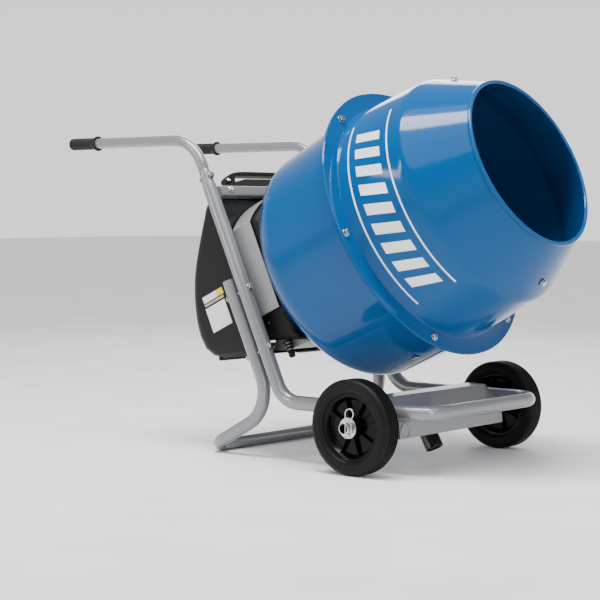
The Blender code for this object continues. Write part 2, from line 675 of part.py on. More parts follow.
def mixing_blades():
    """Two angle-section blades that cross the drum's wall on a slant, bolted at both ends."""
    stations = 10
    for number, turn in ((1, 0.0), (2, 180.0)):
        rings = []
        for step in range(stations + 1):
            share = step / stations
            reach = BLADE_ENDS[1][0] - BLADE_ENDS[0][0]
            u = BLADE_ENDS[0][0] - 0.018 + (reach + 0.036) * share
            slant = (u - BLADE_ENDS[0][0]) / reach * (BLADE_ENDS[1][1] - BLADE_ENDS[0][1])
            angle = math.radians(turn + BLADE_ENDS[0][1] + slant)
            web = 0.012 + 0.050 * math.sin(math.pi * share) ** 0.7
            base = inner_radius(u) - 0.0015
            if abs(u - FLANGE_U) < 0.03:
                base = BAND_RADIUS - DRUM_WALL - 0.0015
            side = Vector((0.0, math.cos(angle), -math.sin(angle)))
            out = Vector((0.0, math.sin(angle), math.cos(angle)))
            origin = Vector((u, 0.0, 0.0)) + out * base
            foot = 0.013
            sheet = 0.003
            shape = [(-foot, 0.0), (foot, 0.0), (foot, -sheet), (sheet - foot, -sheet), (sheet - foot, -web),
                     (-foot, -web)]
            sag = [base - math.sqrt(base * base - across * across) for across, _ in shape]
            rings.append([origin + side * across + out * (height - drop)
                          for (across, height), drop in zip(shape, sag)])
        made = piece("mixing_blade_" + str(number), loft(rings, False), BLADE_STEEL, DRUM)
        cut(made, BOWL_DRILL)
        cut(made, CONE_DRILL)


def wall_frame(u, degrees, radius):
    """A frame on the drum's wall: its X points outward, square to the wall."""
    fall = math.atan2(inner_radius(u - 0.01) - inner_radius(u + 0.01), 0.02)
    angle = math.radians(degrees)
    out = Vector((math.sin(fall), math.sin(angle) * math.cos(fall), math.cos(angle) * math.cos(fall)))
    place = Vector((u, math.sin(angle) * radius, math.cos(angle) * radius))
    return place, out


def wall_drill(name, u, degrees_list, radius):
    """One cutter of drills that cross the drum's wall at an angle square to it."""
    mesh = bmesh.new()
    for degrees in degrees_list:
        place, out = wall_frame(u, degrees, inner_radius(u))
        turn = out.to_track_quat("X", "Z").to_matrix()
        rings = []
        for level in (-0.012, 0.012):
            angles = [2.0 * math.pi * (step + 0.3) / 8 for step in range(8)]
            rings.append([mesh.verts.new(place + turn @ Vector((level, radius * math.sin(a), radius * math.cos(a))))
                          for a in angles])
        for index in range(8):
            after = (index + 1) % 8
            mesh.faces.new((rings[0][index], rings[0][after], rings[1][after], rings[1][index]))
        mesh.faces.new(rings[0])
        mesh.faces.new(rings[1])
    return cutter(name, mesh, DRUM)


def drum_bolts():
    """Six bolts through the joined flanges and two through each blade."""
    for number in range(6):
        angle = FLANGE_BOLT_START + math.radians(60.0 * number)
        place = (0.0, FLANGE_BOLT_CIRCLE * math.sin(angle), FLANGE_BOLT_CIRCLE * math.cos(angle))
        front = FLANGE_U + FLANGE_THICKNESS + 2.0 * GAP
        rear = FLANGE_U - FLANGE_THICKNESS - GAP
        bolt("flange_bolt_" + str(number + 1), (front, rear), 0.003, 0.0065, DRUM, place)
    number = 0
    for turn in (0.0, 180.0):
        for u, degrees in BLADE_ENDS:
            number += 1
            place, out = wall_frame(u, degrees + turn, inner_radius(u))
            made = bolt("blade_bolt_" + str(number), (DRUM_WALL + 0.0016, -0.0064), 0.003, 0.0065, DRUM, place)
            made.rotation_euler = out.to_track_quat("X", "Z").to_euler()


def drum_shaft():
    """Shaft with the round flange that carries the drum's back."""
    face = DRUM_BACK - GAP
    profile = [(face, 0.0), (face, 0.055), (face - 0.006, 0.055), (face - 0.006, 0.022), (face - 0.016, 0.014),
               (-0.0978, 0.014), (-0.0978, SHAFT_RADIUS), (-0.184, SHAFT_RADIUS), (-0.184, 0.0)]
    piece("drum_shaft", turned(profile, 16, closed=False), ZINC, DRUM)


# ---------------------------------------------------------------- drive
def tooth_outline(teeth, phase):
    """A spur gear's outline with straight-sided teeth, the first one centred on the phase angle."""
    pitch = TOOTH_MODULE * teeth / 2.0
    tip = pitch + TOOTH_MODULE * 0.9
    root = pitch - TOOTH_MODULE * 1.2
    step = 2.0 * math.pi / teeth
    points = []
    for tooth in range(teeth):
        middle = phase + step * tooth
        for radius, share in ((root, -0.32), (tip, -0.12), (tip, 0.12), (root, 0.32)):
            angle = middle + step * share
            points.append((radius * math.sin(angle), radius * math.cos(angle)))
    return points


def bearing(name, middle, half, outer, bore, parent, place=(0.0, 0.0, 0.0)):
    profile = [(middle - half, bore), (middle + half, bore), (middle + half, outer), (middle - half, outer)]
    return piece(name, turned(profile, 16), BEARING_STEEL, parent, place)


def bearing_housing():
    """Flanged cast sleeve on the gear plate with the drum shaft's two bearings."""
    seat = PLATE_U + PLATE_THICKNESS + GAP
    bore = BEARING_OUTER + GAP
    profile = [(seat, bore), (seat, 0.045), (seat + 0.006, 0.045), (seat + 0.009, 0.029), (-0.0985, 0.027),
               (-0.0985, bore)]
    piece("bearing_housing", turned(profile, 20), CAST_GREY, LEANING)
    bearing("drum_bearing_rear", seat + 0.0065, 0.006, BEARING_OUTER, SHAFT_RADIUS + GAP, LEANING)
    bearing("drum_bearing_front", -0.105, 0.006, BEARING_OUTER, SHAFT_RADIUS + GAP, LEANING)


def output_gear():
    """Large gear on the rear end of the drum shaft, with a gap between teeth facing the pinion."""
    half_tooth = math.pi / GEAR_TEETH
    outline = tooth_outline(GEAR_TEETH, math.pi / 2.0 + half_tooth)
    made = piece("output_gear", prism(outline, -0.178, -0.164, "X"), CAST_GREY, DRUM)
    cut(made, drill("gear_bore", SHAFT_RADIUS + GAP, -0.19, -0.15, [(0.0, 0.0)], "X", DRUM, 20))


def layshaft():
    """Pinion shaft with its big pulley, and the bracket and bearing that hold its rear end."""
    outline = tooth_outline(PINION_TEETH, -math.pi / 2.0)
    rings = []
    shaft = 0.008
    for u in (-0.182, -0.161):
        rings.append([Vector((u, y, v)) for y, v in outline])
    mesh = loft(rings, False)
    made = piece("pinion_shaft", mesh, BEARING_STEEL, LAYSHAFT)
    spindle = turned([(-0.147, 0.0), (-0.147, 0.0078), (-0.272, 0.0078), (-0.272, 0.0)], 16, closed=False)
    core = piece("spindle", spindle, GUIDE, LAYSHAFT)
    core.hide_render = True
    core.display_type = "WIRE"
    join = made.modifiers.new("join", "BOOLEAN")
    join.operation = "UNION"
    join.solver = "EXACT"
    join.object = core
    rim = PULLEY_RADIUS
    profile = [(-0.268, shaft + GAP), (-0.268, 0.018), (-0.262, 0.020), (-0.262, rim - 0.006), (-0.268, rim),
               (-0.252, rim), (-0.258, rim - 0.006), (-0.258, 0.020), (-0.252, 0.018), (-0.252, shaft + GAP)]
    piece("large_pulley", turned(profile, 24), CAST_GREY, LAYSHAFT)
    wall = PLATE_U - GAP
    plan = [(-0.204, 0.046), (-0.204, 0.112), (wall, 0.112), (wall, 0.108), (-0.200, 0.108), (-0.200, 0.046)]
    made = piece("layshaft_bracket", prism(plan, -0.030, 0.030, "Z"), CAST_GREY, LEANING)
    cut(made, drill("bearing_seat", 0.0165, -0.21, -0.19, [(CENTRE_DISTANCE, 0.0)], "X", LEANING, 16))
    bearing("layshaft_bearing", -0.202, 0.004, 0.016, shaft + GAP, LEANING, (0.0, CENTRE_DISTANCE, 0.0))


def motor():
    """Motor can with its stator, the rotor with its shaft, and the cooling fan."""
    seat = PLATE_U - GAP
    rear = -0.2435
    profile = [(seat, 0.0425), (seat, 0.045), (rear, 0.045), (rear, 0.0085), (rear + 0.003, 0.0085),
               (rear + 0.003, 0.0425), (-0.228, 0.0425), (-0.228, 0.027), (-0.180, 0.027), (-0.180, 0.0425)]
    piece("motor_can", turned(profile, 20), CAST_GREY, LEANING, (0.0, MOTOR_Y, MOTOR_V))
    shaft = ROTOR_RADIUS
    profile = [(-0.159, 0.0), (-0.159, shaft), (-0.182, shaft), (-0.182, 0.026), (-0.226, 0.026), (-0.226, shaft),
               (-0.271, shaft), (-0.271, 0.0)]
    piece("rotor_shaft", turned(profile, 16, closed=False), BEARING_STEEL, ROTOR)
    outline = []
    for blade in range(8):
        middle = math.radians(45.0 * blade)
        for radius, offset in ((0.014, -14.0), (0.036, -6.0), (0.036, 4.0), (0.014, 10.0)):
            angle = middle + math.radians(offset)
            outline.append((radius * math.sin(angle), radius * math.cos(angle)))
    made = piece("cooling_fan", prism(outline, -0.174, -0.162, "X"), FAN_PLASTIC, ROTOR)
    cut(made, drill("fan_bore", shaft + GAP, -0.19, -0.15, [(0.0, 0.0)], "X", ROTOR, 16))


def belt_outline(extra):
    """The belt's line round both pulleys, at a distance out from them."""
    big = Vector((CENTRE_DISTANCE, 0.0))
    small = Vector((MOTOR_Y, MOTOR_V))
    between = small - big
    heading = math.degrees(math.atan2(between.x, between.y))
    tilt = math.degrees(math.acos((PULLEY_RADIUS - ROTOR_RADIUS) / between.length))
    wide = arc(big, PULLEY_RADIUS + extra, heading + tilt, heading + 360.0 - tilt, 24)
    narrow = arc(small, ROTOR_RADIUS + extra, heading - tilt, heading + tilt, 6)
    return wide + narrow


def drive_belt():
    """Flat ribbed belt from the motor's shaft to the big pulley."""
    rings = []
    for extra, ends in ((0.0036, 1), (0.0010, -1)):
        outline = belt_outline(extra)
        levels = (-0.267, -0.253) if ends > 0 else (-0.253, -0.267)
        for level in levels:
            rings.append([Vector((level, y, v)) for y, v in outline])
    piece("drive_belt", loft(rings, True), GRIP_RUBBER, LEANING)


# ---------------------------------------------------------------- wheels
def wheels():
    """Solid tyres on moulded rims, each turning on the axle."""
    half = WHEEL_WIDTH / 2.0
    tyre = [(-half + 0.004, RIM_RADIUS), (-half, 0.067), (-half, 0.076), (-half + 0.008, WHEEL_RADIUS),
            (half - 0.008, WHEEL_RADIUS), (half, 0.076), (half, 0.067), (half - 0.004, RIM_RADIUS)]
    bore = AXLE_RADIUS + GAP
    rim = RIM_RADIUS - GAP
    outside = [(0.018, bore), (0.018, 0.0165), (0.001, 0.0185), (0.001, 0.050), (0.0125, 0.054), (0.0135, rim)]
    inside = [(-0.0135, rim), (-0.0125, 0.054), (-0.004, 0.050), (-0.004, 0.0185), (-0.023, 0.0165), (-0.023, bore)]
    for side, hub in ((1, LEFT_HUB), (-1, RIGHT_HUB)):
        piece("wheel_" + side_name(side) + "_tyre", turned(tyre, 32, "Y"), TYRE_RUBBER, hub)
        profile = [(along * side, radius) for along, radius in outside + inside]
        piece("wheel_" + side_name(side) + "_rim", turned(profile, 24, "Y"), RIM_PLASTIC, hub)


# ---------------------------------------------------------------- build
clear_scene()

TUBE_PAINT = finish("tube_paint", (0.46, 0.47, 0.49), 0.32, 0.3)
BLACK_PAINT = finish("black_paint", (0.012, 0.012, 0.013), 0.4, 0.0)
HOOP_PAINT = finish("hoop_paint", (0.52, 0.54, 0.55), 0.45, 0.2)
DRUM_BLUE = finish("drum_blue", (0.0, 0.13, 0.42), 0.2, 0.0)
BLADE_STEEL = finish("blade_steel", (0.0, 0.10, 0.33), 0.35, 0.0)
COVER_PLASTIC = finish("cover_plastic", (0.02, 0.02, 0.021), 0.6, 0.0)
FAN_PLASTIC = finish("fan_plastic", (0.03, 0.03, 0.03), 0.5, 0.0)
GRIP_RUBBER = finish("grip_rubber", (0.01, 0.01, 0.011), 0.7, 0.0)
TYRE_RUBBER = finish("tyre_rubber", (0.014, 0.014, 0.015), 0.65, 0.0)
RIM_PLASTIC = finish("rim_plastic", (0.01, 0.01, 0.011), 0.4, 0.0)
ZINC = finish("zinc", (0.72, 0.73, 0.74), 0.25, 1.0)
BEARING_STEEL = finish("bearing_steel", (0.6, 0.6, 0.6), 0.25, 1.0)
CAST_GREY = finish("cast_grey", (0.2, 0.2, 0.2), 0.5, 0.8)
START_GREEN = finish("start_green", (0.02, 0.3, 0.06), 0.35, 0.0)
STOP_RED = finish("stop_red", (0.5, 0.01, 0.01), 0.35, 0.0)
GUIDE = finish("guide", (0.8, 0.2, 0.8), 0.5, 0.0)

BARROW = empty("barrow", (AXLE_X, 0.0, 0.0))
LEANING = empty("leaning", (DRUM_X, 0.0, DRUM_Z), BARROW, -LEAN)
DRUM = empty("drum_axis", (0.0, 0.0, 0.0), LEANING)
LAYSHAFT = empty("layshaft_axis", (0.0, CENTRE_DISTANCE, 0.0), LEANING)
ROTOR = empty("rotor_axis", (0.0, MOTOR_Y, MOTOR_V), LEANING)
LEFT_HUB = empty("left_hub", (0.0, WHEEL_MIDDLE_Y, WHEEL_RADIUS), BARROW)
RIGHT_HUB = empty("right_hub", (0.0, -WHEEL_MIDDLE_Y, WHEEL_RADIUS), BARROW)

SIDES = (SIDE_Y, -SIDE_Y)
FRAME_DRILL = drill("frame_drill", 0.0034, -0.22, -0.11,
                    [(y, v) for y in SIDES for v in (UPPER_BOLT_V, LOWER_BOLT_V)], "X", LEANING)
HANDLE_DRILL = drill("handle_drill", 0.0034, -0.18, -0.11, [(y, HANDLE_BOLT_V) for y in SIDES], "X", LEANING)
BOLT_ANGLES = [FLANGE_BOLT_START + math.radians(60.0 * number) for number in range(6)]
FLANGE_DRILL = drill("flange_drill", 0.0034, FLANGE_U - 0.01, FLANGE_U + 0.01,
                     [(FLANGE_BOLT_CIRCLE * math.sin(a), FLANGE_BOLT_CIRCLE * math.cos(a)) for a in BOLT_ANGLES],
                     "X", DRUM)
BOWL_DRILL = wall_drill("bowl_drill", BLADE_ENDS[0][0], [BLADE_ENDS[0][1], BLADE_ENDS[0][1] + 180.0], 0.0034)
CONE_DRILL = wall_drill("cone_drill", BLADE_ENDS[1][0], [BLADE_ENDS[1][1], BLADE_ENDS[1][1] + 180.0], 0.0034)

main_tube()
foot_tube()
handles()
cross_bar()
axle_box()
stand_socket()
axle()
frame_bolts()
drive_hoop()
gear_plate()
front_housing()
rear_cover()
bottom_tray()
switch_housing()
cable_gland()
drum_bowl()
drum_cone()
mixing_blades()
drum_bolts()
drum_shaft()
bearing_housing()
output_gear()
layshaft()
motor()
drive_belt()
wheels()
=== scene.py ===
import json
import math

import bmesh
import bpy
from mathutils import Matrix, Vector


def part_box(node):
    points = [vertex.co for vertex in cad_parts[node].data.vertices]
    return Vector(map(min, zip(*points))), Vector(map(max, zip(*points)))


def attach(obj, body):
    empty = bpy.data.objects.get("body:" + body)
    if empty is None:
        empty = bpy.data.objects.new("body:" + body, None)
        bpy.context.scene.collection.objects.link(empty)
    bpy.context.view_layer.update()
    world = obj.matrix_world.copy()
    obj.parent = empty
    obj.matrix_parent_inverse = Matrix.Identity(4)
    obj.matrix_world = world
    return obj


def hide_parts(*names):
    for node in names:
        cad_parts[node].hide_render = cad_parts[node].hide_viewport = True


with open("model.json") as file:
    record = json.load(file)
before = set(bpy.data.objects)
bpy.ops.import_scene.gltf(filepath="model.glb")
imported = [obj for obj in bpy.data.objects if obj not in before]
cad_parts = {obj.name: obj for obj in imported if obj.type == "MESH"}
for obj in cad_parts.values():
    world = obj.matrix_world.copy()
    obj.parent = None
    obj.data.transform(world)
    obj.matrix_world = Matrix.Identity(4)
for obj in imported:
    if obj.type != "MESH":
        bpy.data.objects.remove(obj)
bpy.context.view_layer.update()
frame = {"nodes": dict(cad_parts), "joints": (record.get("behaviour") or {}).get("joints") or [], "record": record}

# ------------------------ places taken from the frame
NODES = frame["nodes"]
JOINTS = {joint["name"]: joint for joint in frame["joints"]}
DRUM_ORIGIN = Vector(JOINTS["drum_spin"]["pos_m"])
DRUM_WAY = Vector(JOINTS["drum_spin"]["axis"])
LEAN = math.atan2(DRUM_WAY.z, DRUM_WAY.x)
AXLE_X, WHEEL_Y, WHEEL_Z = JOINTS["wheel_left_spin"]["pos_m"]
BARROW = Matrix.Translation((AXLE_X, 0.0, 0.0))
LEANING = Matrix.Translation(DRUM_ORIGIN) @ Matrix.Rotation(-LEAN, 4, "Y")
DRUM_Z = DRUM_ORIGIN.z

# ------------------------ driving dimensions, as in the CAD model
# In the barrow frame, X runs forward from the wheels' axle and Z up from the floor.
# In the leaning frame, U runs forward along the drum's axis and V square to it, from the drum's origin.
BOTH_SIDES = ((1, "left"), (-1, "right"))
SIDES = 96
CLEARANCE = 0.0003

SIDE_Y = 0.177
MAIN_TUBE = 0.0135
FOOT_TUBE = 0.0125
HANDLE_TUBE = 0.0105
TUBE_WALL = 0.0018
RAIL_Z = 0.110
FRONT_BAR_X = 0.122
FOOT_BAR_X = -0.388
HANDLE_Z = 0.599
GRIP_END_X = -0.783
GRIP_LENGTH = 0.079
MAIN_U = -0.146
FOOT_U = -0.177
JOINT_V = 0.255
FOOT_TOP_V = 0.036
FOOT_KNEE_V = -0.2237
CROSS_BAR_U = -0.1397
CROSS_BAR_V = 0.205
FRAME_BOLTS = (("upper", 0.005), ("lower", -0.115))
HANDLE_BOLT_V = 0.238

DRUM_BACK = -0.068
DRUM_CORNER = 0.061
BOWL_RADIUS = 0.231
BOWL_RIM_RADIUS = 0.238
DRUM_WALL = 0.002
FLANGE_U = 0.168
FLANGE_RADIUS = 0.265
FLANGE_SHEET = 0.003
FLANGE_BEND = 0.010
BAND_RADIUS = 0.2306
BAND_START = 0.0073
CREASE_U = 0.312
CREASE_RADIUS = 0.2205
CREASE_START = 0.014
CREASE_SWELL = 0.0010
MOUTH_U = 0.4185
MOUTH_RADIUS = 0.158
BEAD_RADIUS = 0.004
BLADE_ENDS = ((0.075, 190.5), (0.345, 175.5))
BOLT_RADIUS = 0.003
BOLT_HEAD = 0.0065
FLANGE_BOLTS = 6
FLANGE_BOLT_RADIUS = 0.2485

WHEEL_RADIUS = WHEEL_Z
RIM_RADIUS = 0.0600
TYRE_OUTBOARD = 0.0205
TYRE_INBOARD = 0.0215
AXLE_HALF = 0.2625
AXLE_RADIUS = 0.0110
WASHER_FACE = 0.0183
WASHER_THICK = 0.002
CLIP_Y = 0.2568

COVER_SIDE_Y = 0.155
COVER_RIM_U = -0.155
HOUSING_WALL = 0.0025
HOUSING_FLOOR_U = -0.185
HOUSING_FLOOR_V = -0.0830
HOUSING_SLOPE = -0.39
HOOP_RADIUS = 0.2217
HOOP_CENTRE_V = -0.0305
HOOP_SHEET = 0.002
SWITCH_U = -0.236
BUTTONS = (("start", 0.048, "start_green"), ("stop", 0.012, "stop_red"))

# ------------------------ shared settings
COAT_ROUGHNESS = 0.06
GRAIN_DEPTH = 0.0006
SHARP_ANGLE = 32.0


# ------------------------ camera and studio
def camera():
    """A long lens, a little above the axle's height, from the machine's right front."""
    turn = math.radians(40.19)
    tilt = math.radians(2.875)
    way = Vector((-math.sin(turn) * math.cos(tilt), math.cos(turn) * math.cos(tilt), -math.sin(tilt)))
    data = bpy.data.cameras.new("camera")
    data.sensor_width = 36.0
    data.lens = 101.02
    data.shift_x = 0.0048
    data.shift_y = -0.0078
    data.clip_end = 60.0
    made = bpy.data.objects.new("camera", data)
    made.location = (1.8143 + AXLE_X, -2.5343, 0.4631)
    made.rotation_euler = way.to_track_quat("-Z", "Y").to_euler()
    bpy.context.scene.collection.objects.link(made)
    bpy.context.scene.camera = made


def area_light(name, place, aim, size, power):
    """A softbox of the given width and height, turned towards a place."""
    data = bpy.data.lights.new(name, "AREA")
    data.shape = "RECTANGLE"
    data.size = size[0]
    data.size_y = size[1]
    data.energy = power
    made = bpy.data.objects.new(name, data)
    made.location = place
    made.rotation_euler = (Vector(aim) - Vector(place)).to_track_quat("-Z", "Y").to_euler()
    bpy.context.scene.collection.objects.link(made)


def sky_light():
    """A very wide overhead light, so that the floor is lit evenly out to its edge."""
    data = bpy.data.lights.new("overhead", "SUN")
    data.energy = 1.9
    data.angle = math.radians(70.0)
    made = bpy.data.objects.new("overhead", data)
    made.rotation_euler = (math.radians(16.0), math.radians(10.0), 0.0)
    bpy.context.scene.collection.objects.link(made)


def backdrop():
    """A white world that is bright low down and dimmer overhead."""
    world = bpy.data.worlds.new("studio")
    bpy.context.scene.world = world
    world.use_nodes = True
    tree = world.node_tree
    shader = tree.nodes["Background"]
    shader.inputs["Color"].default_value = (1.0, 1.0, 1.0, 1.0)
    sky = tree.nodes.new("ShaderNodeTexCoord")
    parts = tree.nodes.new("ShaderNodeSeparateXYZ")
    fade = tree.nodes.new("ShaderNodeMapRange")
    fade.inputs["From Min"].default_value = 0.10
    fade.inputs["From Max"].default_value = 0.45
    fade.inputs["To Min"].default_value = 1.30
    fade.inputs["To Max"].default_value = 0.42
    tree.links.new(sky.outputs["Generated"], parts.inputs["Vector"])
    tree.links.new(parts.outputs["Z"], fade.inputs["Value"])
    tree.links.new(fade.outputs["Result"], shader.inputs["Strength"])


def studio():
    """The world, five lights and a pale floor."""
    backdrop()
    area_light("top_softbox", (0.2, -0.5, 2.4), (0.1, 0.0, 0.3), (1.9, 0.5), 80.0)
    area_light("front_softbox", (2.6, -1.2, 1.3), (0.1, 0.0, 0.35), (0.22, 1.5), 15.0)
    area_light("side_softbox", (-1.4, -2.6, 1.3), (-0.1, 0.0, 0.35), (0.22, 1.5), 15.0)
    area_light("rear_softbox", (-1.6, 2.2, 1.8), (-0.1, 0.0, 0.35), (1.2, 1.2), 22.0)
    sky_light()
    mesh = bmesh.new()
    bmesh.ops.create_grid(mesh, x_segments=2, y_segments=2, size=20.0)
    pale = finish("floor_pale", (0.86, 0.86, 0.86), 0.6, bump=0.02)
    floor = link("floor", mesh, Matrix.Identity(4), pale)


# ------------------------ materials
def finish(name, colour, rough, metal=0.0, coat=0.0, vary=0.05, grain=260.0, bump=0.06, spread=0.06,
           patches=5.0, sheen=0.5):
    """A surface with soft colour patches, uneven gloss and a fine grain, all from noise in object space."""
    made = bpy.data.materials.new(name)
    made.use_nodes = True
    tree = made.node_tree
    shader = tree.nodes["Principled BSDF"]
    shader.inputs["Metallic"].default_value = metal
    shader.inputs["Coat Weight"].default_value = coat
    shader.inputs["Coat Roughness"].default_value = COAT_ROUGHNESS
    shader.inputs["Specular IOR Level"].default_value = sheen
    where = tree.nodes.new("ShaderNodeTexCoord")
    noises = []
    for scale, detail in ((patches, 4.0), (patches * 7.0, 5.0), (grain, 3.0)):
        noise = tree.nodes.new("ShaderNodeTexNoise")
        noise.inputs["Scale"].default_value = scale
        noise.inputs["Detail"].default_value = detail
        tree.links.new(where.outputs["Object"], noise.inputs["Vector"])
        noises.append(noise)
    tint = tree.nodes.new("ShaderNodeValToRGB")
    dark, light = tint.color_ramp.elements
    dark.position = 0.3
    light.position = 0.7
    dark.color = (*[c * (1.0 - vary) for c in colour], 1.0)
    light.color = (*[min(1.0, c * (1.0 + vary)) for c in colour], 1.0)
    tree.links.new(noises[0].outputs["Fac"], tint.inputs["Fac"])
    tree.links.new(tint.outputs["Color"], shader.inputs["Base Color"])
    gloss = tree.nodes.new("ShaderNodeMapRange")
    gloss.inputs["To Min"].default_value = max(0.02, rough - spread)
    gloss.inputs["To Max"].default_value = min(1.0, rough + spread)
    tree.links.new(noises[1].outputs["Fac"], gloss.inputs["Value"])
    tree.links.new(gloss.outputs["Result"], shader.inputs["Roughness"])
    relief = tree.nodes.new("ShaderNodeBump")
    relief.inputs["Strength"].default_value = bump
    relief.inputs["Distance"].default_value = GRAIN_DEPTH
    tree.links.new(noises[2].outputs["Fac"], relief.inputs["Height"])
    tree.links.new(relief.outputs["Normal"], shader.inputs["Normal"])
    return made


def finishes():
    """One material for each slot of the record: its name, colour, roughness and the rest of its look."""
    looks = (
        ("tube_paint", (0.205, 0.21, 0.225), 0.25,
         dict(metal=0.3, coat=0.8, vary=0.04, grain=700.0, bump=0.05)),
        ("black_paint", (0.006, 0.006, 0.007), 0.28, dict(coat=0.3, vary=0.15, grain=500.0)),
        ("hoop_paint", (0.27, 0.275, 0.28), 0.36, dict(metal=0.2, coat=0.1, grain=500.0, bump=0.05)),
        ("drum_blue", (0.0, 0.066, 0.215), 0.11, dict(coat=0.2, grain=420.0, bump=0.03, sheen=0.15)),
        ("blade_steel", (0.0, 0.048, 0.15), 0.36,
         dict(coat=0.2, vary=0.12, grain=300.0, bump=0.12, sheen=0.3)),
        ("cover_plastic", (0.007, 0.007, 0.0075), 0.48, dict(vary=0.12, grain=1500.0, bump=0.3, sheen=0.2)),
        ("fan_plastic", (0.02, 0.02, 0.02), 0.5, dict(vary=0.1, grain=900.0, bump=0.2, sheen=0.3)),
        ("grip_rubber", (0.007, 0.007, 0.008), 0.6, dict(vary=0.15, grain=1600.0, bump=0.35, sheen=0.3)),
        ("tyre_rubber", (0.0045, 0.0045, 0.0045), 0.45, dict(vary=0.2, grain=1300.0, bump=0.3, sheen=0.13)),
        ("rim_plastic", (0.002, 0.002, 0.003), 0.16, dict(vary=0.1, grain=900.0, sheen=0.12)),
        ("zinc", (0.52, 0.53, 0.54), 0.20,
         dict(metal=1.0, vary=0.08, grain=900.0, spread=0.1, patches=60.0)),
        ("bearing_steel", (0.60, 0.60, 0.60), 0.25,
         dict(metal=1.0, vary=0.06, grain=900.0, bump=0.05, spread=0.1)),
        ("cast_grey", (0.12, 0.12, 0.125), 0.55, dict(metal=0.6, vary=0.15, grain=400.0, bump=0.5)),
        ("start_green", (0.01, 0.20, 0.04), 0.3, dict(coat=0.3, vary=0.06, grain=900.0, bump=0.05)),
        ("stop_red", (0.38, 0.008, 0.008), 0.3, dict(coat=0.3, vary=0.06, grain=900.0, bump=0.05)),
    )
    return {slot: finish(slot, colour, rough, **rest) for slot, colour, rough, rest in looks}


# ------------------------ mesh helpers
def link(name, mesh, matrix, material, sharp=SHARP_ANGLE):
    """Makes an object whose mesh is already in its place, as the CAD nodes are."""
    bmesh.ops.transform(mesh, matrix=matrix, verts=mesh.verts)
    bmesh.ops.recalc_face_normals(mesh, faces=mesh.faces)
    data = bpy.data.meshes.new(name)
    mesh.to_mesh(data)
    mesh.free()
    data.shade_smooth()
    data.set_sharp_from_angle(angle=math.radians(sharp))
    data.materials.append(material)
    made = bpy.data.objects.new(name, data)
    bpy.context.scene.collection.objects.link(made)
    return made


def add(name, mesh, matrix, slot, body="frame", stands_for=(), sharp=SHARP_ANGLE, material=None):
    """A visible piece: it rides on a body, takes a slot's finish and may stand for CAD nodes."""
    made = link(name, mesh, matrix, material or FINISH[slot], sharp)
    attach(made, body)
    if stands_for:
        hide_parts(*stands_for)
    return made


def bevel(made, width, segments=3):
    """Rounds a piece's sharp edges."""
    soft = made.modifiers.new("bevel", "BEVEL")
    soft.width = width
    soft.segments = segments
    soft.limit_method = "ANGLE"
    soft.angle_limit = math.radians(28.0)
    soft.harden_normals = True


def leaning_at(u, y, v):
    """Puts a mesh at a place in the leaning frame."""
    return LEANING @ Matrix.Translation((u, y, v))


def barrow_at(x, y, z):
    """Puts a mesh at a place in the barrow frame."""
    return BARROW @ Matrix.Translation((x, y, z))


def leaning(u, y, v):
    """A place of the leaning frame, given in the barrow frame."""
    return BARROW.inverted() @ (LEANING @ Vector((u, y, v)))


def mirrored(points):
    """The same points on the machine's other side, in reverse order."""
    return [Vector((point.x, -point.y, point.z)) for point in reversed(points)]


def on_axis(axis, along, side, up):
    """A point given along an axis and square to it."""
    if axis == "X":
        return Vector((along, side, up))
    if axis == "Y":
        return Vector((side, along, up))
    return Vector((side, up, along))


def in_pairs(rows, closed):
    """Each row with the next one, and the last with the first where the rows close."""
    return list(zip(rows, rows[1:] + rows[:1] if closed else rows[1:]))


def loft(rings, closed):
    """A skin over rings of points; it has end faces unless the rings close on themselves."""
    mesh = bmesh.new()
    rows = [[mesh.verts.new(point) for point in ring] for ring in rings]
    count = len(rows[0])
    for first, second in in_pairs(rows, closed):
        for index in range(count):
            after = (index + 1) % count
            mesh.faces.new((first[index], first[after], second[after], second[index]))
    if not closed:
        mesh.faces.new(rows[0])
        mesh.faces.new(rows[-1])
    return mesh


def turned(profile, sides=SIDES, axis="X", closed=True):
    """A profile of (along, radius) turned about an axis; an open profile starts and ends on the axis."""
    mesh = bmesh.new()
    angles = [2.0 * math.pi * step / sides for step in range(sides)]
    rows = []
    for along, radius in profile:
        if radius == 0.0:
            rows.append([mesh.verts.new(on_axis(axis, along, 0.0, 0.0))])
        else:
            rows.append([mesh.verts.new(on_axis(axis, along, radius * math.sin(a), radius * math.cos(a)))
                         for a in angles])
    for first, second in in_pairs(rows, closed):
        for index in range(sides):
            after = (index + 1) % sides
            if len(first) == 1:
                mesh.faces.new((first[0], second[after], second[index]))
            elif len(second) == 1:
                mesh.faces.new((first[index], first[after], second[0]))
            else:
                mesh.faces.new((first[index], first[after], second[after], second[index]))
    return mesh


def prism(outline, low, high, axis):
    """An outline drawn out along an axis between two levels."""
    return loft([[on_axis(axis, level, side, up) for side, up in outline] for level in (low, high)], False)


def box_mesh(low, high):
    """A box between two corners."""
    outline = [(low[1], low[2]), (high[1], low[2]), (high[1], high[2]), (low[1], high[2])]
    return prism(outline, low[0], high[0], "X")


def arc(centre, radius, first, last, steps):
    """Points on an arc, with angles in degrees from the second direction towards the first."""
    angles = [math.radians(first + (last - first) * step / steps) for step in range(steps + 1)]
    return [(centre[0] + radius * math.sin(a), centre[1] + radius * math.cos(a)) for a in angles]


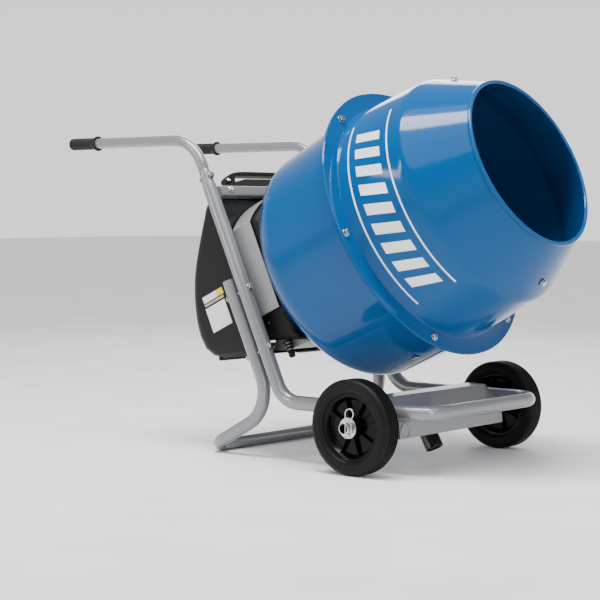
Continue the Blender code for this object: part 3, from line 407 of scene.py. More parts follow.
def rounded(corners, radii, steps=14):
    """A line through corners, with an arc of the given radius at each one but the ends."""
    points = [corners[0]]
    for before, corner, after, radius in zip(corners, corners[1:], corners[2:], radii):
        inward = (before - corner).normalized()
        outward = (after - corner).normalized()
        half = inward.angle(outward) / 2.0
        centre = corner + (inward + outward).normalized() * radius / math.sin(half)
        first = corner + inward * radius / math.tan(half) - centre
        last = corner + outward * radius / math.tan(half) - centre
        axis = first.cross(last)
        turn = first.angle(last)
        for step in range(steps + 1):
            points.append(centre + Matrix.Rotation(turn * step / steps, 3, axis) @ first)
    points.append(corners[-1])
    return points


def ring_frames(points):
    """For each point of a line, two directions square to it that twist as little as they can."""
    ways = []
    for index in range(len(points)):
        after = points[min(index + 1, len(points) - 1)]
        before = points[max(index - 1, 0)]
        ways.append((after - before).normalized())
    side = Vector((0.0, 1.0, 0.0))
    if abs(ways[0].dot(side)) > 0.9:
        side = Vector((0.0, 0.0, 1.0))
    frames = []
    for way in ways:
        side = (side - way * side.dot(way)).normalized()
        frames.append((side, way.cross(side)))
    return frames


def round_ring(point, directions, radius, sides):
    """A circle of points round one point of a line."""
    side, up = directions
    angles = [2.0 * math.pi * step / sides for step in range(sides)]
    return [point + (side * math.cos(a) + up * math.sin(a)) * radius for a in angles]


def tube(points, outer, inner, sides=32):
    """A hollow round tube along a line; radii are given for each point."""
    frames = ring_frames(points)
    outside = zip(points, frames, outer)
    bore = reversed(list(zip(points, frames, inner)))
    return loft([round_ring(*place, sides) for place in [*outside, *bore]], True)


def rod(points, radius, sides=16):
    """A solid round rod along a line."""
    return loft([round_ring(point, directions, radius, sides)
                 for point, directions in zip(points, ring_frames(points))], False)


def join(target, extra):
    """Adds one bmesh to another."""
    data = bpy.data.meshes.new("joined")
    extra.to_mesh(data)
    extra.free()
    target.from_mesh(data)
    bpy.data.meshes.remove(data)
    return target


def cut(target, tool_mesh, matrix):
    """Cuts a shape out of a piece and keeps the result as its mesh."""
    tool = link("tool", tool_mesh, matrix, FINISH["zinc"])
    change = target.modifiers.new("cut", "BOOLEAN")
    change.operation = "DIFFERENCE"
    change.solver = "EXACT"
    change.object = tool
    bpy.context.view_layer.update()
    graph = bpy.context.evaluated_depsgraph_get()
    fresh = bpy.data.meshes.new_from_object(target.evaluated_get(graph))
    target.modifiers.remove(change)
    target.data = fresh
    bpy.data.objects.remove(tool)
    fresh.set_sharp_from_angle(angle=math.radians(SHARP_ANGLE))


# ------------------------ fasteners
def bolt_mesh(seat, nut, radius, head):
    """Hex head with a washer, shank and nut along X, between the head's seat and the nut's seat."""
    mesh = bmesh.new()
    way = 1.0 if seat > nut else -1.0
    washer = [(seat, radius), (seat, head * 1.12), (seat + way * 0.0006, head * 1.18),
              (seat + way * 0.0010, head * 1.12), (seat + way * 0.0010, radius)]
    join(mesh, turned(washer, 32))
    for place, thick in ((seat + way * 0.0010, way * head * 0.62), (nut, -way * head * 0.70)):
        profile = [(place, 0.0), (place, head), (place + thick * 0.78, head),
                   (place + thick, head * 0.82), (place + thick * 1.02, 0.0)]
        join(mesh, turned(profile, 6, closed=False))
    tip = nut - way * head
    shank = [(seat, 0.0), (seat, radius), (tip, radius), (tip - way * 0.0006, radius * 0.7),
             (tip - way * 0.0006, 0.0)]
    join(mesh, turned(shank, 24, closed=False))
    return mesh


def bolt(node, seat, nut, matrix, body="frame", head=BOLT_HEAD):
    """The visible bolt for the CAD node of that name."""
    add(node + "_hex", bolt_mesh(seat, nut, BOLT_RADIUS, head), matrix, "zinc", body, (node,), 20.0)


def screw(name, place, way, radius, body="frame", slot="zinc"):
    """A domed screw head with a round recess, for a place where the CAD model has none."""
    mesh = turned([(0.0, 0.0), (0.0, radius), (radius * 0.25, radius), (radius * 0.55, radius * 0.75),
                   (radius * 0.72, radius * 0.42), (radius * 0.50, radius * 0.20), (radius * 0.45, 0.0)],
                  24, closed=False)
    matrix = leaning_at(*place) @ Vector(way).to_track_quat("X", "Z").to_matrix().to_4x4()
    add(name, mesh, matrix, slot, body)


# ------------------------ drum
def drum():
    """Bowl and cone as thin pressed shells with a joined flange and a rolled mouth."""
    edge = 0.001
    centre = (DRUM_BACK + DRUM_CORNER, BOWL_RADIUS - DRUM_CORNER)

    def corner(inset):
        bend = DRUM_CORNER - inset
        angles = [math.radians(90.0 * step / 20.0) for step in range(21)]
        return [(centre[0] - bend * math.cos(a), centre[1] + bend * math.sin(a)) for a in angles]

    back = FLANGE_U - FLANGE_SHEET
    rim = FLANGE_RADIUS - edge
    boss = DRUM_BACK - 0.0015
    outer = [(DRUM_BACK, 0.0), (DRUM_BACK, 0.062), (boss, 0.066), (boss, 0.100), (DRUM_BACK, 0.104)]
    outer += corner(0.0)
    outer += [(FLANGE_U - 0.014, BOWL_RIM_RADIUS - 0.0003), (back - 0.004, BOWL_RIM_RADIUS + 0.0006),
              (back - edge, BOWL_RIM_RADIUS + 0.0020), (back, BOWL_RIM_RADIUS + 0.0050),
              (back, rim - edge), (back + edge, rim), (FLANGE_U - edge, rim), (FLANGE_U, rim - edge)]
    inner = [(FLANGE_U, BOWL_RIM_RADIUS), (FLANGE_U - FLANGE_BEND, BOWL_RIM_RADIUS - DRUM_WALL)]
    inner += list(reversed(corner(DRUM_WALL))) + [(DRUM_BACK + DRUM_WALL, 0.0)]
    add("bowl_shell", turned(outer + inner, closed=False), LEANING, "drum_blue", "drum", ("drum_bowl",))

    base = FLANGE_U + CLEARANCE
    top = base + FLANGE_SHEET
    slope = math.atan2(CREASE_RADIUS - MOUTH_RADIUS, MOUTH_U - CREASE_U)
    offset = DRUM_WALL / math.cos(slope)
    outer = [(base, FLANGE_RADIUS - edge), (base + edge, FLANGE_RADIUS), (top - edge, FLANGE_RADIUS),
             (top, FLANGE_RADIUS - edge), (top, BAND_RADIUS + 0.0050), (top + edge, BAND_RADIUS + 0.0020),
             (top + 0.004, BAND_RADIUS), (CREASE_U - CREASE_START, CREASE_RADIUS + CREASE_SWELL),
             (CREASE_U - 0.006, CREASE_RADIUS + 0.0002), (CREASE_U, CREASE_RADIUS - 0.0008),
             (CREASE_U + 0.005, CREASE_RADIUS - 0.0031), (CREASE_U + 0.012, CREASE_RADIUS - 0.0072)]
    bead = [(MOUTH_U + BEAD_RADIUS * math.cos(a), MOUTH_RADIUS + BEAD_RADIUS * math.sin(a))
            for a in [math.radians(150.0 - 22.5 * step) for step in range(11)]]
    inner = [(CREASE_U + 0.008, CREASE_RADIUS - 0.0048 - offset),
             (CREASE_U, CREASE_RADIUS - 0.0008 - DRUM_WALL),
             (top + 0.004, BAND_RADIUS - DRUM_WALL), (base, BAND_RADIUS - DRUM_WALL)]
    add("cone_shell", turned(outer + bead + inner), LEANING, "drum_blue", "drum", ("drum_cone",))


def band_radius(u):
    """The outer radius of the band between the flange and the crease."""
    rear = FLANGE_U + BAND_START
    front = CREASE_U - CREASE_START
    return BAND_RADIUS + (CREASE_RADIUS + CREASE_SWELL - BAND_RADIUS) * (u - rear) / (front - rear)


def inner_radius(u):
    """The inner radius of the drum's wall in front of its rear corner."""
    if u < FLANGE_U:
        share = (u - DRUM_BACK - DRUM_CORNER) / (FLANGE_U - FLANGE_BEND - DRUM_BACK - DRUM_CORNER)
        return BOWL_RADIUS + (BOWL_RIM_RADIUS - BOWL_RADIUS) * share - DRUM_WALL
    if u < CREASE_U:
        return band_radius(u) - DRUM_WALL
    return CREASE_RADIUS + (MOUTH_RADIUS - CREASE_RADIUS) * (u - CREASE_U) / (MOUTH_U - CREASE_U) - 0.003


def band_patch(low, high, first, last, skew=0.0):
    """A thin painted patch on the drum's band, between two places along it and two angles in degrees."""
    lift = 0.0007
    sink = 0.0002
    steps = max(2, int(abs(last - first) / 1.2))
    rings = []
    for step in range(steps + 1):
        turn = first + (last - first) * step / steps
        ring = []
        for u, height in ((low, 0.0), (high, 0.0), (high, lift), (low, lift)):
            angle = math.radians(turn + skew * (u - low) / (high - low))
            radius = band_radius(u) + height - sink
            ring.append(Vector((u, radius * math.sin(angle), radius * math.cos(angle))))
        rings.append(ring)
    return loft(rings, False)


def band_stripes():
    """Two white lines round part of the band, with a row of plain slanted bars between them."""
    white = finish("stripe_white", (0.82, 0.83, 0.84), 0.3, coat=0.5, vary=0.03, grain=500.0, bump=0.04)
    spacing = 9.4
    width = 5.2
    mesh = band_patch(0.1955, 0.1985, -41.0, -138.0)
    join(mesh, band_patch(0.2820, 0.2850, -42.0, -138.0))
    for number in range(9):
        start = -49.0 - spacing * number
        join(mesh, band_patch(0.2130, 0.2670, start, start - width, skew=-5.0))
    add("band_stripes", mesh, LEANING, "drum_blue", "drum", material=white)


def mixing_blades():
    """Angle-section blades that cross the wall on a slant, deepest in the middle."""
    stations = 40
    (start_u, start_turn), (end_u, end_turn) = BLADE_ENDS
    reach = end_u - start_u
    overrun = 0.018
    gap = 0.0015
    foot = 0.013
    sheet = 0.003
    for number, turn in ((1, 0.0), (2, 180.0)):
        rings = []
        for step in range(stations + 1):
            share = step / stations
            u = start_u - overrun + (reach + 2.0 * overrun) * share
            slant = (u - start_u) / reach * (end_turn - start_turn)
            angle = math.radians(turn + start_turn + slant)
            web = 0.012 + 0.050 * math.sin(math.pi * share) ** 0.7
            base = inner_radius(u) - gap
            if abs(u - FLANGE_U) < 0.03:
                base = BAND_RADIUS - DRUM_WALL - gap
            side = Vector((0.0, math.cos(angle), -math.sin(angle)))
            out = Vector((0.0, math.sin(angle), math.cos(angle)))
            origin = Vector((u, 0.0, 0.0)) + out * base
            shape = [(-foot, 0.0), (foot, 0.0), (foot, -sheet), (sheet - foot, -sheet),
                     (sheet - foot, -web), (-foot, -web)]
            rings.append([origin + side * across
                          + out * (height - base + math.sqrt(base * base - across * across))
                          for across, height in shape])
        name = "blade_" + str(number)
        made = add(name, loft(rings, False), LEANING, "blade_steel", "drum", ("mixing_" + name,))
        bevel(made, 0.0007, 2)


def drum_bolts():
    """Six bolts round the flange, and one through the wall at each end of each blade."""
    front = FLANGE_U + 0.0036
    rear = FLANGE_U - 0.0033
    for number in range(FLANGE_BOLTS):
        angle = math.radians(25.0 + 360.0 / FLANGE_BOLTS * number)
        matrix = leaning_at(0.0, FLANGE_BOLT_RADIUS * math.sin(angle), FLANGE_BOLT_RADIUS * math.cos(angle))
        bolt("flange_bolt_" + str(number + 1), front, rear, matrix, "drum")
    number = 0
    for turn in (0.0, 180.0):
        for u, degrees in BLADE_ENDS:
            number += 1
            fall = math.atan2(inner_radius(u - 0.01) - inner_radius(u + 0.01), 0.02)
            angle = math.radians(degrees + turn)
            sine = math.sin(angle)
            cosine = math.cos(angle)
            out = Vector((math.sin(fall), sine * math.cos(fall), cosine * math.cos(fall)))
            place = Vector((u, sine * inner_radius(u), cosine * inner_radius(u)))
            matrix = leaning_at(*place) @ out.to_track_quat("X", "Z").to_matrix().to_4x4()
            bolt("blade_bolt_" + str(number), DRUM_WALL + 0.0016, -0.0064, matrix, "drum")


# ------------------------ frame
def drum_axis_v(z):
    """How far across the drum's axis the main tube's line is at a height over the floor."""
    return (z - DRUM_Z - MAIN_U * math.sin(LEAN)) / math.cos(LEAN)


def main_tube():
    """The bent main tube, with a swaged neck at each end that takes a handle."""
    knee_v = drum_axis_v(RAIL_Z)
    half = [leaning(MAIN_U, SIDE_Y, JOINT_V), leaning(MAIN_U, SIDE_Y, knee_v),
            Vector((FRONT_BAR_X, SIDE_Y, RAIL_Z))]
    path = rounded(half + mirrored(half), [0.055] * 4)
    drops = (0.001, 0.012, 0.020, 0.032, 0.039)
    radii = [0.0104, 0.0108, 0.0108, 0.0113, 0.0128, MAIN_TUBE]
    bores = [0.0091] * 4 + [0.0105, MAIN_TUBE - TUBE_WALL]
    swage = [leaning(MAIN_U, SIDE_Y, JOINT_V - drop) for drop in drops]
    path = path[:1] + swage + path[1:-1] + mirrored(swage) + path[-1:]
    plain = len(path) - 2 * len(radii)
    outer = radii + [MAIN_TUBE] * plain + list(reversed(radii))
    inner = bores + [MAIN_TUBE - TUBE_WALL] * plain + list(reversed(bores))
    add("bent_main_tube", tube(path, outer, inner), BARROW, "tube_paint", "frame", ("main_tube",))


def foot_tube():
    """The rear foot, whose bar lies on the floor."""
    half = [leaning(FOOT_U, SIDE_Y, FOOT_TOP_V), leaning(FOOT_U, SIDE_Y, FOOT_KNEE_V),
            Vector((FOOT_BAR_X, SIDE_Y, FOOT_TUBE))]
    path = rounded(half + mirrored(half), [0.070, 0.032, 0.032, 0.070])
    mesh = tube(path, [FOOT_TUBE] * len(path), [FOOT_TUBE - TUBE_WALL] * len(path))
    add("bent_foot_tube", mesh, BARROW, "tube_paint", "frame", ("foot_tube",))


def grip_profile():
    """A closed rubber sleeve with nine shallow grooves and a collar at its front."""
    profile = [(0.0, 0.0), (0.0003, 0.006), (0.0012, 0.0098), (0.0034, 0.0116), (0.0060, 0.0120)]
    for groove in range(9):
        start = 0.0095 + 0.0065 * groove
        profile += [(start, 0.0119), (start + 0.0008, 0.0112), (start + 0.0028, 0.0112),
                    (start + 0.0036, 0.0119)]
    return profile + [(GRIP_LENGTH - 0.008, 0.0120), (GRIP_LENGTH - 0.0045, 0.0140),
                      (GRIP_LENGTH - 0.0025, 0.0150), (GRIP_LENGTH - 0.0006, 0.0150),
                      (GRIP_LENGTH, 0.0142), (GRIP_LENGTH, 0.0108), (0.0027, 0.0108), (0.0027, 0.0)]


def handles():
    """A bent tube on each side, swaged where it goes into the main tube, with a ribbed grip on its end."""
    top_v = drum_axis_v(HANDLE_Z)
    bore = 0.0088
    for side, name in BOTH_SIDES:
        y = side * SIDE_Y
        shoulder = [leaning(MAIN_U, y, JOINT_V + rise) for rise in (0.0003, 0.0006, 0.0016)]
        corners = [leaning(MAIN_U, y, JOINT_V - 0.034), leaning(MAIN_U, y, top_v),
                   Vector((GRIP_END_X + 0.003, y, HANDLE_Z))]
        path = rounded(corners, [0.08], 20)
        path = path[:1] + shoulder + path[1:]
        plain = len(path) - 3
        mesh = tube(path, [0.0088, 0.0088, 0.0100] + [HANDLE_TUBE] * plain, [0.0073] * 3 + [bore] * plain)
        add("bent_handle_" + name, mesh, BARROW, "tube_paint", "frame", ("handle_" + name,))
        mesh = turned(grip_profile(), 40, closed=False)
        add("ribbed_grip_" + name, mesh, barrow_at(GRIP_END_X, y, HANDLE_Z), "grip_rubber", "frame",
            ("grip_" + name,))


def frame_bolts():
    """Four bolts clamp the foot behind the main tube, and one more holds each handle."""
    front = MAIN_U + MAIN_TUBE + CLEARANCE
    rear = FOOT_U - FOOT_TUBE - CLEARANCE
    seat = 0.0121
    for side, name in BOTH_SIDES:
        for level, height in FRAME_BOLTS:
            bolt("frame_bolt_" + level + "_" + name, front, rear, leaning_at(0.0, side * SIDE_Y, height))
        bolt("handle_bolt_" + name, MAIN_U + seat, MAIN_U - seat,
             leaning_at(0.0, side * SIDE_Y, HANDLE_BOLT_V), head=0.0062)


def cross_bar():
    """A square tube between the side tubes, with a screw near each end."""
    half = 0.010
    bend = 0.0028
    reach = SIDE_Y - MAIN_TUBE + 0.0030
    middle = half - bend
    square = []
    for a, b, turn in ((1, 1, 0.0), (1, -1, 90.0), (-1, -1, 180.0), (-1, 1, 270.0)):
        square += arc((a * middle, b * middle), bend, turn, turn + 90.0, 5)
    rings = [[Vector((CROSS_BAR_U + u, level, CROSS_BAR_V + v)) for u, v in square]
             for level in (-reach, reach)]
    add("square_cross_bar", loft(rings, False), LEANING, "tube_paint", "frame", ("cross_bar",))
    for side, name in BOTH_SIDES:
        screw("cross_bar_screw_" + name, (-0.1295, side * 0.140, 0.207), (1.0, 0.0, 0.0), 0.0062)


def axle_box():
    """Folded channel that carries the axle, with a round pressing near the right end of its front."""
    reach = SIDE_Y - MAIN_TUBE - CLEARANCE
    sheet = 0.003
    outline = [(-0.030, 0.131), (0.009, 0.131), (0.047, 0.090), (0.050, 0.060), (-0.030, 0.060)]
    hollow = [(-0.040, 0.128), (0.0077, 0.128), (0.0441, 0.0889), (0.0467, 0.063), (-0.040, 0.063)]
    made = add("folded_axle_box", prism(outline, -reach, reach, "Y"), BARROW, "tube_paint", "frame",
               ("axle_box",), 25.0)
    cut(made, prism(hollow, sheet - reach, reach - sheet, "Y"), BARROW)
    bevel(made, 0.0022)
    matrix = barrow_at(0.0485, -0.147, 0.0755) @ Matrix.Rotation(-0.10, 4, "Y")
    profile = [(0.0, 0.0110), (0.0012, 0.0116), (0.0018, 0.0128), (0.0012, 0.0140), (0.0, 0.0146)]
    add("box_pressing", turned(profile, 40), matrix, "tube_paint")


def stand_socket():
    """A tube end under the axle box, with a rounded lip."""
    bore = 0.0145
    outside = 0.0168
    length = 0.0440
    matrix = barrow_at(0.0078, 0.0, 0.0235) @ Matrix.Rotation(-math.radians(29.5), 4, "Y")
    profile = [(0.0, bore), (0.0, 0.0158), (0.0012, 0.0170), (0.0028, 0.0172), (0.0042, outside),
               (length, outside), (length, bore)]
    add("socket_tube", turned(profile, 48, "Z"), matrix, "black_paint", "frame", ("stand_socket",))


def clip_line():
    """The centre line of a spring clip: a straight leg, a round loop and a bowed leg."""
    ring = 0.0088
    middle = 0.026
    line = [Vector((0.0, 0.0, -0.017)), Vector((0.0, 0.0, 0.0)), Vector((0.0, 0.0, middle - ring * 0.75))]
    for step in range(33):
        turn = math.radians(-92.0 + 290.0 * step / 32.0)
        line.append(Vector((ring + ring * math.sin(turn), 0.0, middle + ring * math.cos(turn))))
    bowed = ((0.0078, 0.0155), (0.0100, 0.0115), (0.0130, 0.0060), (0.0138, 0.0), (0.0136, -0.006))
    return line + [Vector((x, 0.0, z)) for x, z in bowed]


def axle_and_clips():
    """The tubular axle, with a washer and a spring clip outside each wheel."""
    bore = 0.0088
    tip = AXLE_HALF - 0.0008
    profile = [(-AXLE_HALF, 0.0095), (-tip, AXLE_RADIUS), (tip, AXLE_RADIUS), (AXLE_HALF, 0.0095),
               (AXLE_HALF, bore), (-AXLE_HALF, bore)]
    matrix = barrow_at(0.0, 0.0, WHEEL_Z)
    add("tubular_axle", turned(profile, 48, "Y"), matrix, "zinc", "frame", ("axle",))
    hole = 0.0113
    edge = 0.0181
    outside = 0.0185
    for side, name in BOTH_SIDES:
        start = side * (WHEEL_Y + WASHER_FACE)
        thick = side * WASHER_THICK
        profile = [(start, hole), (start, edge), (start + thick * 0.2, outside),
                   (start + thick * 0.8, outside), (start + thick, edge), (start + thick, hole)]
        add("plain_washer_" + name, turned(profile, 56, "Y"), matrix, "zinc", "frame",
            ("axle_washer_" + name,))
        add("spring_clip_" + name, rod(clip_line(), 0.0012), barrow_at(0.0, side * CLIP_Y, WHEEL_Z),
            "zinc", "frame", ("r_clip_" + name,))


# ------------------------ wheels
def tyre_profile(side):
    """A solid tyre that bulges past its rim, with a line on each sidewall and five grooves in its tread."""
    top = WHEEL_RADIUS
    depth = 0.0034
    shoulder = 0.0075

    def wall(face):
        return [(0.0150, RIM_RADIUS), (face - 0.0030, 0.0622), (face - 0.0006, 0.0655), (face, 0.0688),
                (face - 0.0005, 0.0698), (face - 0.0005, 0.0735), (face, 0.0745), (face - 0.0006, 0.0780),
                (face - 0.0022, 0.0812), (face - 0.0046, 0.0838)]

    tread = [(TYRE_OUTBOARD - shoulder, top)]
    for number in range(5):
        groove = 0.0098 - 0.0054 * number
        tread += [(groove + 0.0014, top), (groove + 0.0010, top - depth), (groove - 0.0010, top - depth),
                  (groove - 0.0014, top)]
    tread += [(shoulder - TYRE_INBOARD, top)]
    inboard = [(-along, radius) for along, radius in wall(TYRE_INBOARD)]
    profile = inboard + list(reversed(tread)) + list(reversed(wall(TYRE_OUTBOARD)))
    return [(along * side, radius) for along, radius in profile]


def rim_rib(side, inner, outer, base, crest):
    """The two ends of one rib of a rim, at its hub and near its edge, with a narrow crest."""
    narrow = 0.0006
    ends = []
    for across, wide, height in ((inner, 0.0011, crest), (outer, 0.0009, crest * 0.86)):
        ends.append([Vector((-wide, base * side, across)), Vector((wide, base * side, across)),
                     Vector((narrow, height * side * 0.96, across)),
                     Vector((narrow * 0.5, height * side, across)),
                     Vector((-narrow * 0.5, height * side, across)),
                     Vector((-narrow, height * side * 0.96, across))])
    return ends


def wheels():
    """Two wheels, each a solid tyre on a dished rim with eight ribs on both faces."""
    rim = RIM_RADIUS - CLEARANCE
    bore = 0.0113
    outside = [(0.018, bore), (0.018, 0.0160), (0.0172, 0.0168), (0.004, 0.0188), (0.0016, 0.0205),
               (0.001, 0.0240), (0.001, 0.0480), (0.003, 0.0505), (0.0115, 0.0535), (0.0125, 0.0545),
               (0.0135, 0.0570), (0.0135, rim)]
    inside = [(-0.0135, rim), (-0.0135, 0.0570), (-0.0125, 0.0545), (-0.006, 0.0510), (-0.004, 0.0490),
              (-0.004, 0.0200), (-0.0225, 0.0165), (-0.023, 0.0160), (-0.023, bore)]
    hub = 0.0175
    ribs = ((hub, 0.0530, 0.0008, 0.0098), (hub, 0.0520, -0.0120, -0.0038))
    for side, name in BOTH_SIDES:
        body = "wheel_" + name
        matrix = Matrix.Translation((AXLE_X, side * WHEEL_Y, WHEEL_Z))
        add("solid_tyre_" + name, turned(tyre_profile(side), axis="Y"), matrix, "tyre_rubber", body,
            (body + "_tyre",))
        mesh = turned([(along * side, radius) for along, radius in outside + inside], 72, "Y")
        for number in range(8):
            turn = Matrix.Rotation(math.radians(29.0 + 45.0 * number), 4, "Y")
            for rib in ribs:
                join(mesh, loft([[turn @ point for point in ring] for ring in rim_rib(side, *rib)], False))
        add("ribbed_rim_" + name, mesh, matrix, "rim_plastic", body, (body + "_rim",))


# ------------------------ drive housing
# The rear cover's levels, from its foot up: height, back, half width and fall towards the rear.
LEVELS = [(-0.1235, -0.298, 0.143, -0.323), (-0.1115, -0.312, 0.152, -0.30), (-0.080, -0.323, 0.155, -0.20),
          (-0.030, -0.3265, 0.155, -0.06), (0.005, -0.3235, 0.155, 0.0), (0.050, -0.310, 0.155, 0.0),
          (0.095, -0.288, 0.155, 0.0), (0.140, -0.255, 0.155, 0.0), (0.185, -0.221, 0.152, 0.0),
          (0.198, -0.2155, 0.148, 0.0), (0.210, -0.206, 0.142, 0.0), (0.227, -0.191, 0.126, 0.0),
          (0.2365, -0.184, 0.108, 0.0)]
STRAIGHT_LEVELS = 4


def smooth_levels(steps=5):
    """The cover's levels with more between them: on lines near the foot, and then on a curve."""
    made = []
    for index in range(len(LEVELS) - 1):
        around = [LEVELS[max(0, index - 1)], LEVELS[index], LEVELS[index + 1],
                  LEVELS[min(len(LEVELS) - 1, index + 2)]]
        for step in range(steps):
            t = step / steps
            level = []
            for before, first, second, after in zip(*around):
                if index < STRAIGHT_LEVELS:
                    level.append(first + (second - first) * t)
                else:
                    level.append(0.5 * (2.0 * first + (second - before) * t
                                        + (2.0 * before - 5.0 * first + 4.0 * second - after) * t * t
                                        + (3.0 * first - before - 3.0 * second + after) * t * t * t))
            made.append(tuple(level))
    return made + [LEVELS[-1]]


def cover_section(level, inset):
    """The cover's outline at one level, open towards the front."""
    height, back, half, fall = level
    back += inset
    half -= inset
    corner = min(0.030, (COVER_RIM_U - back) * 0.8)
    angles = [math.radians(step * 9.0) for step in range(11)]
    plan = [(COVER_RIM_U, -half)]
    plan += [(back + corner - corner * math.sin(a), corner - half - corner * math.cos(a)) for a in angles]
    plan += [(u, -y) for u, y in reversed(plan)]
    return [Vector((u, y, height + fall * (u - COVER_RIM_U))) for u, y in plan]


def rear_cover():
    """The moulded rear cover: an open shell with three columns of vent slots in its back."""
    levels = smooth_levels()
    outer = [cover_section(level, 0.0) for level in levels]
    inner = [cover_section(level, HOUSING_WALL) for level in levels]
    for point in inner[0]:
        point.z += HOUSING_WALL
    for point in inner[-1]:
        point.z -= HOUSING_WALL
    mesh = bmesh.new()
    edges = []
    for rows in (outer, inner):
        skin = [[mesh.verts.new(point) for point in row] for row in rows]
        for first, second in zip(skin, skin[1:]):
            for index in range(len(first) - 1):
                mesh.faces.new((first[index], first[index + 1], second[index + 1], second[index]))
        mesh.faces.new(skin[0])
        mesh.faces.new(skin[-1])
        edges.append([skin[0][0]] + [row[0] for row in skin[1:]] + [row[-1] for row in reversed(skin)])
    for (first, second), (after, beyond) in in_pairs(list(zip(*edges)), True):
        mesh.faces.new((first, after, beyond, second))
    made = add("moulded_cover", mesh, LEANING, "cover_plastic", "frame", ("rear_cover",), 40.0)
    slots = bmesh.new()
    half_width = 0.021
    half_height = 0.0026
    for row in range(7):
        height = -0.070 + 0.013 * row
        for middle in (-0.052, 0.0, 0.052):
            join(slots, box_mesh((-0.40, middle - half_width, height - half_height),
                                 (-0.29, middle + half_width, height + half_height)))
    cut(made, slots, LEANING)


def cover_foot_ribs():
    """Five rounded ribs across the cover's foot, on each side of its middle."""
    slope = LEVELS[0][3]
    ribs = bmesh.new()
    for number in range(5):
        u = -0.2938 + 0.0192 * number
        v = -0.1232 + slope * (u - COVER_RIM_U)
        for side, _ in BOTH_SIDES:
            join(ribs, rod([Vector((u, side * 0.139, v)), Vector((u, side * 0.100, v)),
                            Vector((u, side * 0.080, v + 0.003))], 0.0046))
    add("cover_foot_ribs", ribs, LEANING, "cover_plastic")


def carrying_grip():
    """The flat bowed loop on the cover's top edge, with its two screws."""
    span = 0.105
    foot = 0.226
    bow = [(span * step / 24.0, 0.2627 - 0.0177 * abs(step / 24.0) ** 5) for step in range(-24, 25)]
    inside = [(0.080, foot), (0.0775, 0.2400), (0.0735, 0.2505), (0.069, 0.2537)]
    inside += [(-y, v) for y, v in reversed(inside)]
    outline = bow + [(span, foot)] + inside + [(-span, foot)]
    loop = add("carrying_grip", prism(outline, -0.178, -0.162, "X"), LEANING, "cover_plastic")
    bevel(loop, 0.0022)
    for side, name in reversed(BOTH_SIDES):
        screw("cover_screw_" + name, (-0.1610, side * 0.098, 0.2420), (1.0, 0.0, 0.0), 0.0042)


def labels():
    """Blank plates on the cover's right side: nothing is written on them."""
    shared = dict(coat=0.1, vary=0.03, grain=600.0, bump=0.03)
    white = finish("plate_white", (0.78, 0.78, 0.77), 0.4, **shared)
    yellow = finish("plate_yellow", (0.80, 0.57, 0.0), 0.4, **shared)
    grey = finish("plate_grey", (0.36, 0.36, 0.36), 0.4, **shared)
    plates = (("plate_upper", -0.274, -0.236, 0.0285, 0.0415, white),
              ("plate_patch", -0.236, -0.218, 0.0285, 0.0415, yellow),
              ("plate_strip", -0.274, -0.220, 0.0215, 0.0262, grey),
              ("plate_lower", -0.275, -0.221, -0.0320, 0.0180, white))
    side = -COVER_SIDE_Y
    for name, rear, front, low, high, paint in plates:
        mesh = box_mesh((rear, side - 0.0005, low), (front, side + 0.0002, high))
        made = add(name, mesh, LEANING, "cover_plastic", material=paint)
        bevel(made, 0.0003, 2)


def housing_floor(u):
    """How low the front housing's sloping floor is."""
    return HOUSING_FLOOR_V + HOUSING_SLOPE * (u - HOUSING_FLOOR_U)


def front_housing():
    """The moulded front housing: a dish with a round hole for the shaft and vent slots in its sides."""
    half_width = 0.152
    radius = HOOP_RADIUS - HOOP_SHEET - 0.003
    rim = -0.1502
    front = -0.082
    bend = 0.012
    edge = 0.008

    def section(u, inset):
        floor = housing_floor(u) + inset
        half = half_width - inset
        top = radius - inset
        reach = math.degrees(math.asin(half / top))
        right = arc((half - bend, floor + bend), bend, 90.0, 180.0, 6)
        left = arc((bend - half, floor + bend), bend, 180.0, 270.0, 6)
        outline = right + left + arc((0.0, HOOP_CENTRE_V), top, -reach, reach, 40)
        return [Vector((u, y, v)) for y, v in outline]

    outer = [section(rim, 0.0), section(front - edge, 0.0), section(front - 0.0045, 0.0010),
             section(front - 0.0018, 0.0032), section(front, edge)]
    inner = [section(front - HOUSING_WALL, edge + HOUSING_WALL),
             section(front - edge - HOUSING_WALL, HOUSING_WALL), section(rim, HOUSING_WALL)]
    mesh = bmesh.new()
    rows = [[mesh.verts.new(point) for point in ring] for ring in outer + inner]
    count = len(rows[0])
    bridge = len(outer) - 1
    for number, (first, second) in enumerate(in_pairs(rows, True)):
        if number == bridge:
            continue
        for index in range(count):
            after = (index + 1) % count
            mesh.faces.new((first[index], first[after], second[after], second[index]))
    mesh.faces.new(rows[bridge])
    mesh.faces.new(rows[bridge + 1])
    made = add("moulded_housing", mesh, LEANING, "cover_plastic", "frame", ("front_housing",), 30.0)
    hole = [(-0.10, 0.0), (-0.10, 0.032), (-0.07, 0.032), (-0.07, 0.0)]
    cut(made, turned(hole, 48, closed=False), LEANING)
    slots = bmesh.new()
    half_height = 0.0011
    for side, _ in BOTH_SIDES:
        for row in range(10):
            v = -0.0640 - 0.0050 * row
            rear = -0.0980 + 0.0008 * row
            low, high = sorted((side * 0.140, side * 0.170))
            join(slots, box_mesh((rear, low, v - half_height), (rear + 0.0085, high, v + half_height)))
    cut(made, slots, LEANING)
    for side, name in BOTH_SIDES:
        screw("housing_screw_" + name, (-0.1385, side * half_width, -0.068), (0.0, side, 0.0), 0.0030,
              slot="black_paint")


